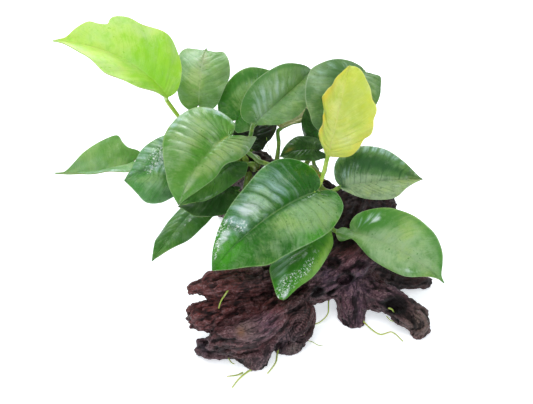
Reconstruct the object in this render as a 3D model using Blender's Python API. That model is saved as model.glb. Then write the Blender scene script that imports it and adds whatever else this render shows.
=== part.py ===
"""Anubias barteri growing on a forked piece of driftwood.

Every leaf is a heart-shaped blade on its own stalk. The stalks rise from one creeping rhizome, which lies in
a groove on the back limb of the wood. Roots hang from the wood and lie on the ground. The wood is a thick
trunk with arms, legs and feet that fork from it. X runs to the right, Y away from the front of the plant and
Z up. The wood stands on Z = 0. Sizes are in millimetres here, and become metres when a mesh is made.
"""

import math
from collections import namedtuple

import bmesh
import bpy
import numpy as np

MM = 0.001

# The middle of the whole object seen from above, so that the origin is under it.
CENTRE = (-14.5, -2.6)

# Gap kept between two pieces that touch, and between two limbs of the wood.
JOINT_GAP = 0.3
LIMB_GAP = 0.5

# Leaf blades: thickness, rows of side veins, and columns on each half.
BLADE_THICKNESS = 1.1
BLADE_ROWS = 8
BLADE_COLUMNS = 3

# The side veins leave the midrib closer together near the stalk, by this power, and bow outwards and
# forwards.
RIB_SPREAD = 1.5
VEIN_BOW_OUT = 0.55
VEIN_BOW_ALONG = 0.22

# The share of the length at which the margins below are widest.
WIDEST = 0.25

# How far round one wave the ruffle of the right margin runs ahead of the left one, in radians, and how far
# one leaf's ruffle runs ahead of the next one's as its widest place moves along.
RUFFLE_LEAD = 1.3
RUFFLE_TURN = 40.0

# Half of a flat blade's margin, from the notch at the stalk round to the tip. The first number is a share of
# the half width and the second a share of the length, or of the lobe's depth where it is below zero.
HEART_HALF = (
    (0.00, 0.00), (0.20, -0.75), (0.52, -1.00), (0.84, -0.30), (0.99, 0.17), (0.97, 0.36),
    (0.80, 0.59), (0.50, 0.79), (0.20, 0.93), (0.00, 1.00),
)
OVATE_HALF = (
    (0.00, 0.00), (0.14, -0.80), (0.37, -1.00), (0.63, -0.35), (0.88, 0.08), (1.00, 0.27),
    (0.92, 0.52), (0.66, 0.76), (0.29, 0.94), (0.00, 1.00),
)
WEDGE_HALF = (
    (0.00, 0.00), (0.20, -0.60), (0.42, -0.20), (0.66, 0.04), (0.88, 0.12), (1.00, 0.26),
    (0.92, 0.48), (0.68, 0.73), (0.30, 0.93), (0.00, 1.00),
)
HEART = (HEART_HALF, HEART_HALF)
WEDGE = (WEDGE_HALF, WEDGE_HALF)
OVATE = (OVATE_HALF, OVATE_HALF)
OVATE_LEFT = (OVATE_HALF, HEART_HALF)
OVATE_RIGHT = (HEART_HALF, OVATE_HALF)

Leaf = namedtuple(
    "Leaf",
    "name base tip left right widest sag crown lobes ruffle waves margins foot via lean thick sway",
    defaults=(1.0, 3, HEART, (0.5, 0), (), 0.35, 1.6, 0.0),
)

# base and tip are the ends of the midrib, and left and right are the margin where the blade is widest, which
# is at the share widest of its length. sag is how far the midrib rises over the straight line from base to
# tip, and crown how far each half bulges between the midrib and the margin. lobes are how far the left and
# right halves reach back past the stalk, as shares of the length. ruffle and waves are the margin's ripple,
# and margins its outline on the left and the right. foot is where the stalk leaves the rhizome: the share of
# its length and the degrees round it from the top towards the front. via are points that the stalk passes,
# lean is how far it turns along the midrib before it meets the blade, and thick is its radius there. sway is
# how far the midrib bends towards the right margin halfway along.
LEAVES = (
    Leaf("01", (-69, 45, 138), (-141, 35, 188), (-97, 16, 170), (-84, 60, 186), 0.40, 9, 2, (0.00, 0.05),
         1.4, 4, OVATE_LEFT, foot=(0.04, 0), via=((-50, 44, 104),), lean=2.0, sway=6),
    Leaf("02", (-49, 60, 122), (-44, 96, 148), (-66, 74, 138), (-26, 76, 141), 0.48, 10, 2, (0.05, 0.05),
         1.8, 3, WEDGE, foot=(0.12, -50), via=((-42, 62, 102),)),
    Leaf("03", (-22, 60, 109), (10, 84, 133), (-25, 77, 135), (2, 58, 117), 0.35, 5, 2, (0.16, 0.16),
         foot=(0.19, -20), via=((-28, 54, 94),)),
    Leaf("04", (-8, 37, 122), (33, 74, 142), (1, 56, 151), (13, 34, 125), 0.32, 5, 3, (0.20, 0.04),
         margins=OVATE_RIGHT, foot=(0.26, 5), via=((-17, 46, 89), (-12, 44, 104))),
    Leaf("05", (11, 62, 101), (42, 86, 98), (19, 84, 107), (27, 70, 101), 0.45, 2, 1, (0.10, 0.06),
         margins=WEDGE, foot=(0.50, -15), via=((9, 57, 90),), lean=1.0),
    Leaf("06", (69, 60, 149), (38, 38, 113), (79, 43, 138), (27, 46, 146), 0.34, 6, 3, (0.04, 0.15),
         margins=(WEDGE_HALF, HEART_HALF), foot=(0.92, 10),
         via=((40.5, 31, 81), (44, 33, 97), (54, 46, 128))),
    Leaf("07", (36, 60, 87), (29, 74, 110), (27, 66, 95), (42, 66, 97), 0.40, 3, 1, (0.12, 0.12),
         foot=(0.83, -95), via=((35, 56, 75),), lean=2.5),
    Leaf("08", (37, 46, 92), (10, 45, 87), (24, 36, 90), (24, 53, 99), 0.40, 5, 1, (0.28, 0.20),
         foot=(0.79, -20)),
    Leaf("09", (43, 20, 105), (56, 36, 169), (37, 26, 123), (76, 24, 132), 0.30, 3, 2, (0.02, 0.05), 1.6, 5,
         foot=(0.77, 75), via=((31, 22, 74), (38, 20, 81)), lean=3.0),
    Leaf("10", (53, 16, 82), (109, 8, 94), (70, 28, 109), (80, -2, 86), 0.30, 5, 3, (0.14, 0.08),
         margins=OVATE_RIGHT, foot=(0.98, 165), via=((46, 21, 73),), lean=1.5),
    Leaf("11", (61, -8, 59), (120, -50, 50), (96, -14, 81), (78, -32, 53), 0.38, 5, 3, (0.03, 0.16),
         margins=OVATE, foot=(0.78, 135), via=((42, 14, 60), (48, 2, 53)), lean=1.5, sway=-5),
    Leaf("12", (34, 0, 89), (-36, -55, 65), (39, -30, 77), (-6, 2, 107), 0.25, 9, 4, (0.12, 0.13),
         foot=(0.66, 60), lean=1.5, sway=5),
    Leaf("13", (37, -8, 63), (11, -64, 47), (43, -24, 53), (5, -34, 53), 0.40, 6, 2, (0.10, 0.10),
         foot=(0.68, 115), lean=3.0),
    Leaf("14", (-25, 15, 126), (-58, -35, 105), (-19, 2, 114), (-61, 14, 138), 0.27, 8, 3, (0.20, 0.20),
         foot=(0.46, 20), via=((-6, 37, 89), (-13, 30, 101)), sway=5),
    Leaf("15", (-49, 18, 112), (-95, -16, 111), (-69, -14, 92), (-73, 14, 125), 0.40, 5, 3, (0.12, 0.12),
         foot=(0.13, 30), via=((-37, 39, 97),)),
    Leaf("16", (-97, 27, 94), (-150, 27, 85), (-112, 10, 98), (-112, 46, 105), 0.42, 0, 2, (0.04, 0.04),
         margins=WEDGE, foot=(0.03, 45), via=((-52, 36, 80), (-76, 28, 84)), lean=1.0, sway=-4),
    Leaf("17", (-49, 26, 58), (-81, -20, 43), (-43, 8, 54), (-71, 12, 52), 0.42, 2, 2, (0.10, 0.10),
         foot=(0.16, 110), via=((-34, 36, 64),), lean=1.5),
    Leaf("18", (-22, 32, 91), (-61, 0, 77), (-30, 12, 81), (-44, 20, 88), 0.40, 4, 2, (0.12, 0.12),
         foot=(0.35, 30), lean=1.0),
    Leaf("19", (-22, 20, 75), (-63, 10, 68), (-38, -2, 69), (-44, 22, 74), 0.40, 4, 2, (0.12, 0.12),
         foot=(0.32, 95), lean=2.0),
    Leaf("20", (-11, 53, 88), (-3, 82, 101), (-25, 68, 97), (7, 72, 92), 0.55, 2, 1, (0.06, 0.06),
         margins=WEDGE, foot=(0.37, 0), lean=1.5),
)

# The rhizome creeps along the saddle of the wood. Each row is a point on its centre line and its radius.
RHIZOME = (
    ((-34, 44, 79), 4.0),
    ((-23, 44, 78), 4.6),
    ((-12, 44, 75), 5.2),
    ((6, 44, 71), 5.6),
    ((20, 41, 71), 6.0),
    ((31, 35, 73), 5.8),
    ((38, 28, 80), 5.2),
)
RHIZOME_RINGS = 14
RHIZOME_SIDES = 10
LEAF_SCARS = 7
SCAR_RISE = 0.06

# The rhizome's direction is read over this share of its length on each side of a stalk's foot.
RHIZOME_STEP = 0.02

# A stalk stands off the rhizome by this much, sets out away from it with this weight, and keeps its first
# and last directions for this length or this share of the way to its next point, whichever is less. It meets
# the blade at this share of the midrib, and its foot is wider than its top.
STALK_STAND_OFF = 1.2
STALK_OUTWARD = 1.5
STALK_LEAD = 9.0
STALK_LEAD_SHARE = 0.35
STALK_MEETS = 0.04
STALK_FOOT_SWELL = 1.35
STALK_SEGMENTS = 5
CURVE_READS = 8

# How an end closes: the share of the full radius at the very end, and how fast the radius grows from there.
RHIZOME_END = (0.45, 9.0)
LIMB_END = (0.55, 8.0)

# Ridges that run with the grain: waves round the limb, how far they turn along it in radians, and their
# height.
RIDGES = ((3, 2.0, 0.50), (5, -3.0, 0.45), (2, 9.0, 0.35), (7, 5.0, 0.30))
RIDGE_DEPTH = 0.09

Limb = namedtuple("Limb", "name path seed rings sides", defaults=(9, 10))

# Each limb of the wood: points on its centre line, with its half width across and its half height there.
LIMBS = (
    Limb("wood_trunk", (
        ((76, 58, 34), 19, 13), ((74, 38, 43), 25, 15), ((68, 15, 40), 27, 18), ((56, -5, 31), 22, 17),
        ((40, -17, 26), 18, 15), ((25, -27, 28), 15, 13), ((14, -33, 29), 11, 9),
    ), 3, 11, 14),
    Limb("wood_arm_upper", (
        ((24, -26, 32), 8, 8), ((8, -32, 37), 10, 10), ((-11, -41, 42), 10, 10.5), ((-35, -48, 44), 8.5, 9),
        ((-54, -51, 39), 4.5, 5),
    ), 5),
    Limb("wood_arm_lower", (
        ((22, -34, 22), 8, 7), ((-3, -46, 24), 10, 10), ((-27, -54, 25), 11, 11), ((-44, -59, 27), 9, 10),
        ((-54, -61, 28), 6, 6),
    ), 7),
    Limb("wood_bulge", (
        ((26, -38, 27), 9, 10), ((7, -58, 25), 12, 13), ((-10, -71, 21), 12, 14), ((-25, -73, 19), 10, 11),
        ((-38, -71, 13), 6, 7),
    ), 11, 10),
    Limb("wood_foot_front", (
        ((-5, -62, 22), 12, 8), ((-9, -71, 11), 15, 8), ((-14, -78, -3), 13, 5),
    ), 13, 6),
    Limb("wood_foot_left", (
        ((-12, -66, 4), 7, 6), ((-26, -68, 4), 8, 7), ((-38, -68, 5), 8, 7), ((-49, -67, 6), 6, 7),
    ), 17, 7),
    Limb("wood_foot_middle", (
        ((24, -42, 24), 10, 12), ((22, -52, 14), 11, 11), ((15, -60, 6), 11, 9), ((13, -65, -5), 10, 7),
    ), 19, 7),
    Limb("wood_foot_right", (
        ((57, -8, 26), 14, 14), ((61, -20, 17), 13, 13), ((62, -31, 8), 11, 10), ((62, -40, -5), 7, 8),
    ), 23, 7),
    Limb("wood_leg_right", (
        ((64, -16, 20), 9, 10), ((76, -24, 15), 10, 11), ((90, -33, 15), 9, 10), ((102, -42, 12), 10, 9),
        ((109, -48, 7), 7, 9), ((107, -52, -4), 4, 6),
    ), 29),
    Limb("wood_arm_right", (
        ((60, 4, 30), 12, 12), ((78, -1, 19), 12, 11), ((96, -2, 10), 9, 8), ((110, 0, 5), 7, 6),
        ((121, 1, 4), 5, 4),
    ), 31),
    Limb("wood_limb_back", (
        ((68, 34, 44), 11, 11), ((46, 41, 51), 12, 11), ((22, 50, 56), 12, 11), ((2, 56, 64), 11, 11),
        ((-12, 59, 70), 10, 11), ((-28, 61, 71), 8, 8), ((-42, 62, 72), 5, 5),
    ), 37),
    Limb("wood_leg_back", (
        ((-8, 60, 64), 8, 8), ((-14, 68, 46), 9, 9), ((-22, 79, 26), 10, 9), ((-28, 86, 8), 10, 9),
        ((-29, 88, -5), 9, 8),
    ), 41, 8),
)

# Knot holes and hollows in the wood: the middle of each, and its half sizes along X, Y and Z.
PITS = (
    ((56, -28, 33), (6.5, 6.0, 4.5)),
    ((36, -38, 29), (4.5, 5.0, 4.5)),
    ((90, -42, 21), (8.0, 5.5, 5.0)),
)

Root = namedtuple("Root", "name points radius")

# Roots that show as clear lengths, each along points on its centre line.
ROOTS = (
    Root("root_1", ((-21, -49, 47), (-25, -54, 48), (-28.5, -57, 44), (-31, -58.5, 40), (-32.5, -61, 36)), 0.9),
    Root("root_2", ((50, -18, 16), (45, -27, 12), (44, -35, 6), (39, -39, 2), (33, -42, 1.2)), 0.8),
    Root("root_3", ((64, -34, 8), (71, -43, 3), (80, -51, 1.2), (89, -49, 1.2), (96, -58, 1.2)), 0.8),
    Root("root_4", ((-16, -87.5, 1.3), (-20, -89.8, 1.3), (-27, -91, 1.2)), 0.8),
    Root("root_5", ((-2, -74, 6), (-5.5, -82, 2.2), (-13, -87, 1.4), (-19, -94, 1.4), (-23, -100.9, 1.2)), 1.0),
    Root("root_6", ((9, -65, 5), (7.4, -71, 1.8), (6.6, -77, 1.4), (4.6, -82, 1.4), (0.5, -88.5, 1.2)), 0.9),
)
ROOT_STEPS = 7
ROOT_TAPER = 0.6

# Blocks and angles used while the pieces are cut and shaded.
GROUND_BLOCK = 0.6
SHARP_EDGE = math.radians(35)
SMALLEST_EDGE = 0.02 * MM

# A path is steep where its level way across is shorter than this, and is then read from the side.
STEEP = 0.35


def unit(vector):
    vector = np.asarray(vector, float)
    return vector / np.linalg.norm(vector, axis=-1, keepdims=True)


def smooth_curve(points, share):
    """The smooth curve through the points, read at shares from 0 to 1, with equal shares between points."""
    points = np.asarray(points, float)
    padded = np.vstack([2 * points[0] - points[1], points, 2 * points[-1] - points[-2]])
    at = np.clip(np.asarray(share, float), 0, 1) * (len(points) - 1)
    start = np.minimum(at.astype(int), len(points) - 2)
    f = (at - start)[..., None]
    a, b, c, d = (padded[start + k] for k in range(4))
    return 0.5 * (2 * b + (c - a) * f + (2 * a - 5 * b + 4 * c - d) * f**2 + (3 * b - a - 3 * c + d) * f**3)


def evenly(points, count):
    """The same path, read again at even distances."""
    steps = np.linalg.norm(np.diff(points, axis=0), axis=1)
    run = np.concatenate([[0], np.cumsum(steps)])
    at = np.linspace(0, run[-1], count)
    return np.stack([np.interp(at, run, points[:, k]) for k in range(3)], axis=1)


def frame_along(points):
    """At each point of a path: the way it runs, the level way across it, and the way up from it."""
    ahead = unit(np.gradient(points, axis=0))
    across = np.cross(ahead, (0.0, 0.0, 1.0))
    steep = np.linalg.norm(across, axis=1) < STEEP
    across[steep] = np.cross(ahead[steep], (0.0, 1.0, 0.0))
    across = unit(across)
    for i in range(1, len(across)):
        if across[i] @ across[i - 1] < 0:
            across[i] = -across[i]
    return ahead, across, np.cross(across, ahead)


def blade_axes(leaf):
    """Length, the ways along and up from the blade, and the steps from the midrib to its widest margins."""
    base, tip = np.asarray(leaf.base, float), np.asarray(leaf.tip, float)
    length = np.linalg.norm(tip - base)
    forward = (tip - base) / length
    up = unit(np.cross(np.subtract(leaf.right, leaf.left), forward))
    rib = base + leaf.widest * (tip - base) + 4 * leaf.sag * leaf.widest * (1 - leaf.widest) * up
    return length, forward, up, leaf.left - rib, leaf.right - rib


def blade_points(leaf, along, across):
    """Points on the blade's middle surface. along names a side vein, from 0 at the stalk to 1 at the tip.
    across runs along that vein, from the midrib at 0 to the left margin at -1 or the right one at 1."""
    along, across = np.broadcast_arrays(np.asarray(along, float), np.asarray(across, float))
    on_right = across > 0
    margin_left, margin_right = (smooth_curve(half, along) for half in leaf.margins)
    margin = np.where(on_right[..., None], margin_right, margin_left)
    margin_x, margin_y = margin[..., 0], margin[..., 1]
    shift = (leaf.widest - WIDEST) * margin_y / WIDEST * ((1 - margin_y) / (1 - WIDEST)) ** 2
    lobe = np.where(on_right, leaf.lobes[1], leaf.lobes[0])
    margin_y = np.where(margin_y < 0, margin_y * lobe, margin_y + shift)
    rib_y = along**RIB_SPREAD
    a = np.abs(across)
    x = (2 * a * (1 - a) * VEIN_BOW_OUT + a**2) * margin_x
    y = rib_y + (2 * a * (1 - a) * VEIN_BOW_ALONG + a**2) * (margin_y - rib_y)
    length, forward, up, left, right = blade_axes(leaf)
    half = np.where(on_right[..., None], right, left)
    lead = np.where(on_right, RUFFLE_LEAD, 0.0) + RUFFLE_TURN * leaf.widest
    wave = np.sin(2 * math.pi * leaf.waves * along + lead)
    rise = 4 * leaf.sag * y * (1 - y) + 4 * leaf.crown * x * (1 - x) + leaf.ruffle * x**2 * wave
    sway = leaf.sway * 4 * y * (1 - y) * np.clip(1 - x, 0, 1)
    return np.asarray(leaf.base, float) + (length * y)[..., None] * forward + x[..., None] * half \
        + rise[..., None] * up + sway[..., None] * unit(right - left)


def round_ends(share, end):
    """The share of its full radius that a limb or rhizome has, which falls off towards both ends."""
    start, growth = end
    return np.clip(np.minimum(share, 1 - share) * growth + start, 0, 1)


def rhizome_point(share):
    """Centre and radius of the rhizome at a share of its length, with the round ends worked in."""
    rows = smooth_curve([(*point, radius) for point, radius in RHIZOME], share)
    return rows[..., :3], rows[..., 3] * round_ends(share, RHIZOME_END)


def stalk_points(leaf, count):
    """Points along the centre line of a leaf's stalk, from the rhizome's skin to just under the blade."""
    share, turn = leaf.foot
    near, _ = rhizome_point(np.array([share - RHIZOME_STEP, share, share + RHIZOME_STEP]))
    centre, radius = rhizome_point(np.array([share]))
    _, across, up = frame_along(near)
    front = across[1] if across[1][1] < 0 else -across[1]
    angle = math.radians(turn)
    out = math.cos(angle) * up[1] + math.sin(angle) * front
    start = centre[0] + ((1 + SCAR_RISE) * radius[0] + JOINT_GAP + STALK_STAND_OFF) * out
    length, forward, blade_up, left, right = blade_axes(leaf)
    slope = 4 * leaf.sag / length
    rib_ahead, rib_up = unit(forward + slope * blade_up), unit(blade_up - slope * forward)
    arrive = unit(rib_up + leaf.lean * rib_ahead)
    droop = max(0.0, -unit(left) @ rib_up, -unit(right) @ rib_up)
    below = BLADE_THICKNESS / 2 + 2 * JOINT_GAP + leaf.thick * (arrive @ rib_ahead + droop)
    end = blade_points(leaf, np.array([STALK_MEETS]), np.array([0.0]))[0] - below * rib_up
    first = (leaf.via[0] if leaf.via else end) - start
    last = end - (leaf.via[-1] if leaf.via else start)
    lead = min(STALK_LEAD, STALK_LEAD_SHARE * np.linalg.norm(first))
    tail = min(STALK_LEAD, STALK_LEAD_SHARE * np.linalg.norm(last))
    away = unit(STALK_OUTWARD * out + unit(first))
    points = [start, start + lead * away, *leaf.via, end - tail * arrive, end]
    return evenly(smooth_curve(points, np.linspace(0, 1, CURVE_READS * len(points))), count)


def place(points):
    """Millimetres from the measuring point, as metres from the origin."""
    return (np.asarray(points, float) - (*CENTRE, 0.0)) * MM


def new_object(name, data):
    made = bpy.data.objects.new(name, data)
    bpy.context.scene.collection.objects.link(made)
    return made


def material(name, colour, roughness):
    made = bpy.data.materials.new(name)
    made.use_nodes = True
    shader = made.node_tree.nodes["Principled BSDF"]
    shader.inputs["Base Color"].default_value = (*colour, 1.0)
    shader.inputs["Roughness"].default_value = roughness
    shader.inputs["Metallic"].default_value = 0.0
    return made


def mesh_object(name, points, faces, look):
    mesh = bpy.data.meshes.new(name)
    mesh.from_pydata(place(points).tolist(), [], faces)
    mesh.materials.append(look)
    return new_object(name, mesh)


def leaf_blade(leaf, look):
    """A blade is a sheet of quads between the side veins, with one point at the stalk and one at the tip."""
    shares = np.linspace(0, 1, BLADE_ROWS + 1)[1:-1]
    columns = np.linspace(-1, 1, 2 * BLADE_COLUMNS + 1)
    rows = blade_points(leaf, shares[:, None], columns[None, :])
    ends = blade_points(leaf, np.array([0.0, 1.0]), np.zeros(2))
    n, m = rows.shape[:2]
    first, last = n * m, n * m + 1
    faces = [
        (i * m + j, i * m + j + 1, (i + 1) * m + j + 1, (i + 1) * m + j)
        for i in range(n - 1) for j in range(m - 1)
    ]
    faces += [(first, j + 1, j) for j in range(m - 1)]
    faces += [(last, (n - 1) * m + j, (n - 1) * m + j + 1) for j in range(m - 1)]
    blade = mesh_object("leaf_blade_" + leaf.name, np.vstack([rows.reshape(-1, 3), ends]), faces, look)
    solid = blade.modifiers.new("thickness", "SOLIDIFY")
    solid.thickness = BLADE_THICKNESS * MM
    solid.offset = 0
    blade.data.shade_smooth()
    return blade


def tube(name, points, radii, look):
    """A round rod along the points, as a curve with a bevel and closed ends."""
    curve = bpy.data.curves.new(name, "CURVE")
    curve.dimensions = "3D"
    curve.bevel_depth = MM
    curve.bevel_resolution = 1
    curve.use_fill_caps = True
    curve.resolution_u = 1
    curve.render_resolution_u = 0
    spline = curve.splines.new("POLY")
    spline.points.add(len(points) - 1)
    for node, point, radius in zip(spline.points, place(points), radii):
        node.co = (*point, 1.0)
        node.radius = radius
    curve.materials.append(look)
    return new_object(name, curve)


def ringed_mesh(name, rings, look):
    """A closed solid through rings of points, with a point in the middle of each end."""
    n, m = rings.shape[:2]
    points = np.vstack([rings.reshape(-1, 3), rings[0].mean(axis=0), rings[-1].mean(axis=0)])
    faces = []
    for i in range(n - 1):
        for j in range(m):
            near, beside = i * m + j, i * m + (j + 1) % m
            faces += [(near, beside, beside + m), (near, beside + m, near + m)]
    faces += [(n * m, (j + 1) % m, j) for j in range(m)]
    faces += [(n * m + 1, (n - 1) * m + j, (n - 1) * m + (j + 1) % m) for j in range(m)]
    made = mesh_object(name, points, faces, look)
    shape = bmesh.new()
    shape.from_mesh(made.data)
    bmesh.ops.recalc_face_normals(shape, faces=shape.faces)
    shape.to_mesh(made.data)
    shape.free()
    return made


def rhizome(look, name="rhizome", grown=0.0):
    """The creeping stem, ringed by the scars of old leaves."""
    shares = np.linspace(0, 1, RHIZOME_RINGS)
    centres, radii = rhizome_point(shares)
    _, across, up = frame_along(centres)
    scars = 1 + SCAR_RISE * np.cos(2 * math.pi * LEAF_SCARS * shares)
    radii = radii * scars + grown
    turn = np.linspace(0, 2 * math.pi, RHIZOME_SIDES, endpoint=False)
    rings = centres[:, None] + radii[:, None, None] * (
        np.cos(turn)[None, :, None] * across[:, None] + np.sin(turn)[None, :, None] * up[:, None]
    )
    return ringed_mesh(name, rings, look)


def limb(part, look, name=None, grown=0.0):
    """A limb of the wood: an oval swept along its path, with ridges that run with the grain."""
    rng = np.random.default_rng(part.seed)
    phases = rng.uniform(0, 2 * math.pi, len(RIDGES))
    shares = np.linspace(0, 1, part.rings)
    rows = smooth_curve([(*point, wide, high) for point, wide, high in part.path], shares)
    centres = rows[:, :3]
    _, across, up = frame_along(centres)
    turn = np.linspace(0, 2 * math.pi, part.sides, endpoint=False)[None, :]
    along = shares[:, None]
    ridge = sum(
        height * np.sin(waves * turn + phase + twist * along)
        for (waves, twist, height), phase in zip(RIDGES, phases)
    )
    swell = (1 + RIDGE_DEPTH * ridge) * round_ends(along, LIMB_END)
    wide, high = rows[:, 3][:, None], rows[:, 4][:, None]
    out_x, out_z = (wide * swell + grown) * np.cos(turn), (high * swell + grown) * np.sin(turn)
    rings = centres[:, None] + out_x[..., None] * across[:, None] + out_z[..., None] * up[:, None]
    if grown:
        ahead = unit(np.gradient(centres, axis=0))
        rings[0] -= grown * ahead[0]
        rings[-1] += grown * ahead[-1]
    return ringed_mesh(name or part.name, rings, look)


def floor_cutter():
    """A block whose top is the ground, to cut the feet flat."""
    mesh = bpy.data.meshes.new("ground_cutter")
    block = bmesh.new()
    bmesh.ops.create_cube(block, size=GROUND_BLOCK)
    bmesh.ops.translate(block, verts=block.verts, vec=(0, 0, -GROUND_BLOCK / 2))
    block.to_mesh(mesh)
    block.free()
    return new_object("ground_cutter", mesh)


def pit_cutter(number, centre, half_sizes):
    """A lump the shape of a knot hole, to cut into the limbs that it meets."""
    name = f"pit_cutter_{number}"
    mesh = bpy.data.meshes.new(name)
    lump = bmesh.new()
    bmesh.ops.create_icosphere(lump, subdivisions=2, radius=MM)
    bmesh.ops.scale(lump, verts=lump.verts, vec=half_sizes)
    bmesh.ops.translate(lump, verts=lump.verts, vec=place([centre])[0])
    lump.to_mesh(mesh)
    lump.free()
    return new_object(name, mesh)


def largest_body(mesh):
    """Removes the crumbs that a cut can leave, and keeps the largest connected body."""
    shape = bmesh.new()
    shape.from_mesh(mesh)
    left, bodies = set(shape.verts), []
    while left:
        found, edge = set(), [left.pop()]
        while edge:
            vert = edge.pop()
            found.add(vert)
            for link in vert.link_edges:
                other = link.other_vert(vert)
                if other in left:
                    left.remove(other)
                    edge.append(other)
        bodies.append(found)
    keep = max(bodies, key=len)
    bmesh.ops.delete(shape, geom=[v for v in shape.verts if v not in keep], context="VERTS")
    bmesh.ops.dissolve_degenerate(shape, dist=SMALLEST_EDGE, edges=shape.edges)
    bmesh.ops.triangulate(shape, faces=shape.faces)
    shape.to_mesh(mesh)
    shape.free()


def cut(piece, cutters):
    """Takes the cutters out of a piece, then clears the modifiers and leaves a plain mesh."""
    for cutter in cutters:
        step = piece.modifiers.new("cut", "BOOLEAN")
        step.operation = "DIFFERENCE"
        step.solver = "EXACT"
        step.object = cutter
    bpy.context.view_layer.update()
    graph = bpy.context.evaluated_depsgraph_get()
    mesh = bpy.data.meshes.new_from_object(piece.evaluated_get(graph))
    mesh.name = piece.name
    piece.modifiers.clear()
    piece.data = mesh
    largest_body(mesh)


def wood(look, others):
    """Each limb gives way to the limbs before it, and all of them to the other cutters."""
    grown = []
    for part in LIMBS:
        piece = limb(part, look)
        cut(piece, grown + others)
        piece.data.shade_smooth()
        piece.data.set_sharp_from_angle(angle=SHARP_EDGE)
        grown.append(limb(part, look, part.name + "_cutter", LIMB_GAP))
    for cutter in grown:
        bpy.data.objects.remove(cutter)


def root_points(root):
    return smooth_curve(root.points, np.linspace(0, 1, ROOT_STEPS))


def root_radii(root, grown=0.0):
    return np.linspace(root.radius, ROOT_TAPER * root.radius, ROOT_STEPS) + grown


def tube_cutter(name, points, radii, look):
    """The same rod as a plain mesh, a little longer at both ends, to cut a groove with."""
    points = points.copy()
    points[0] += JOINT_GAP * unit(points[0] - points[1])
    points[-1] += JOINT_GAP * unit(points[-1] - points[-2])
    rod = tube(name + "_curve", points, radii, look)
    bpy.context.view_layer.update()
    graph = bpy.context.evaluated_depsgraph_get()
    mesh = bpy.data.meshes.new_from_object(rod.evaluated_get(graph))
    bpy.data.objects.remove(rod)
    shape = bmesh.new()
    shape.from_mesh(mesh)
    bmesh.ops.remove_doubles(shape, verts=shape.verts, dist=SMALLEST_EDGE / 20)
    bmesh.ops.recalc_face_normals(shape, faces=shape.faces)
    shape.to_mesh(mesh)
    shape.free()
    return new_object(name, mesh)


def clear_scene():
    for old in list(bpy.data.objects):
        bpy.data.objects.remove(old)


def main():
    clear_scene()
    green = material("leaf_green", (0.10, 0.26, 0.05), 0.35)
    young = material("young_leaf", (0.36, 0.62, 0.08), 0.40)
    yellow = material("old_yellow_leaf", (0.66, 0.70, 0.12), 0.50)
    stem = material("stem_green", (0.20, 0.32, 0.06), 0.45)
    creeping = material("rhizome_green", (0.22, 0.22, 0.06), 0.55)
    bark = material("driftwood", (0.055, 0.030, 0.027), 0.60)
    fibre = material("root_green", (0.45, 0.50, 0.15), 0.55)
    looks = {"01": young, "09": yellow}

    for leaf in LEAVES:
        leaf_blade(leaf, looks.get(leaf.name, green))
        path = stalk_points(leaf, STALK_SEGMENTS + 1)
        radii = np.linspace(leaf.thick * STALK_FOOT_SWELL, leaf.thick, len(path))
        tube("leaf_stalk_" + leaf.name, path, radii, looks.get(leaf.name, stem))

    rhizome(creeping)
    cutters = [floor_cutter(), rhizome(creeping, "rhizome_cutter", JOINT_GAP)]
    cutters += [pit_cutter(number, *pit) for number, pit in enumerate(PITS)]
    for root in ROOTS:
        points = root_points(root)
        tube(root.name, points, root_radii(root), fibre)
        cutters.append(tube_cutter(root.name + "_cutter", points, root_radii(root, JOINT_GAP), fibre))
    wood(bark, cutters)
    for cutter in cutters:
        bpy.data.objects.remove(cutter)


main()
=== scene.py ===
"""The looks of an Anubias barteri growing on a forked piece of driftwood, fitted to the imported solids.

Leaf blades, stalks, rhizome and roots repeat the routes and sizes of the solids they stand for, with finer
shapes. The limbs of the driftwood are grown together into one piece of wood. Sizes are in millimetres here,
measured from the same point as the solids' own, and become metres when a mesh is made.
"""

import itertools
import math
from collections import namedtuple

import bmesh
import bpy
import numpy as np
from mathutils import Matrix, Vector


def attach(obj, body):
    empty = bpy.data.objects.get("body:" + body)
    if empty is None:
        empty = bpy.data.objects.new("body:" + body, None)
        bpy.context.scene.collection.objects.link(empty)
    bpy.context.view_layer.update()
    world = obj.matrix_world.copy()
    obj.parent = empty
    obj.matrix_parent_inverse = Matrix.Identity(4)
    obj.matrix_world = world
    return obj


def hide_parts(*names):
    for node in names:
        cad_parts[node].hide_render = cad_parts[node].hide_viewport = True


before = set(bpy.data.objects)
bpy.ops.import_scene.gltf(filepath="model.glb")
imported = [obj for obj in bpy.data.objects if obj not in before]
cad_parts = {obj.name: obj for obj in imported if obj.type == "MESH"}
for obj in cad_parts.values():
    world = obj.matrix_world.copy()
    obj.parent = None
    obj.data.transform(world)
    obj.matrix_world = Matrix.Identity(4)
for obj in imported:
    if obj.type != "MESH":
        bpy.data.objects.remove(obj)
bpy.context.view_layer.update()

MM = 0.001
CENTRE = (-14.5, -2.6)
BODY = "root"

# Camera: it looks down at this angle on its target from this far away.
CAMERA_TARGET = (0.0, 0.0, 80.0)
CAMERA_DISTANCE = 725.0
CAMERA_ELEVATION = math.radians(38)
CAMERA_LENS = 70.0
CAMERA_SENSOR = 36.0

# Leaf blades.
BLADE_THICKNESS = 0.9
BLADE_ROWS = 96
BLADE_COLUMNS = 18
RIB_SPREAD = 2.3
VEIN_BOW_OUT = 0.55
VEIN_BOW_ALONG = 0.22
WIDEST = 0.25
RUFFLE_LEAD = 1.3
RUFFLE_TURN = 40.0
SIDE_VEINS = 12
KEEL_END = 0.93
ROW_CROWDING = 1.25
COLUMN_CROWDING = 0.12
SHARP_EDGE = math.radians(60)
MARGIN_POINTS = 160
MARGIN_STEPS = 240
LEAF_SLOTS = {"01": "young_leaf", "09": "old_leaf"}

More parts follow.
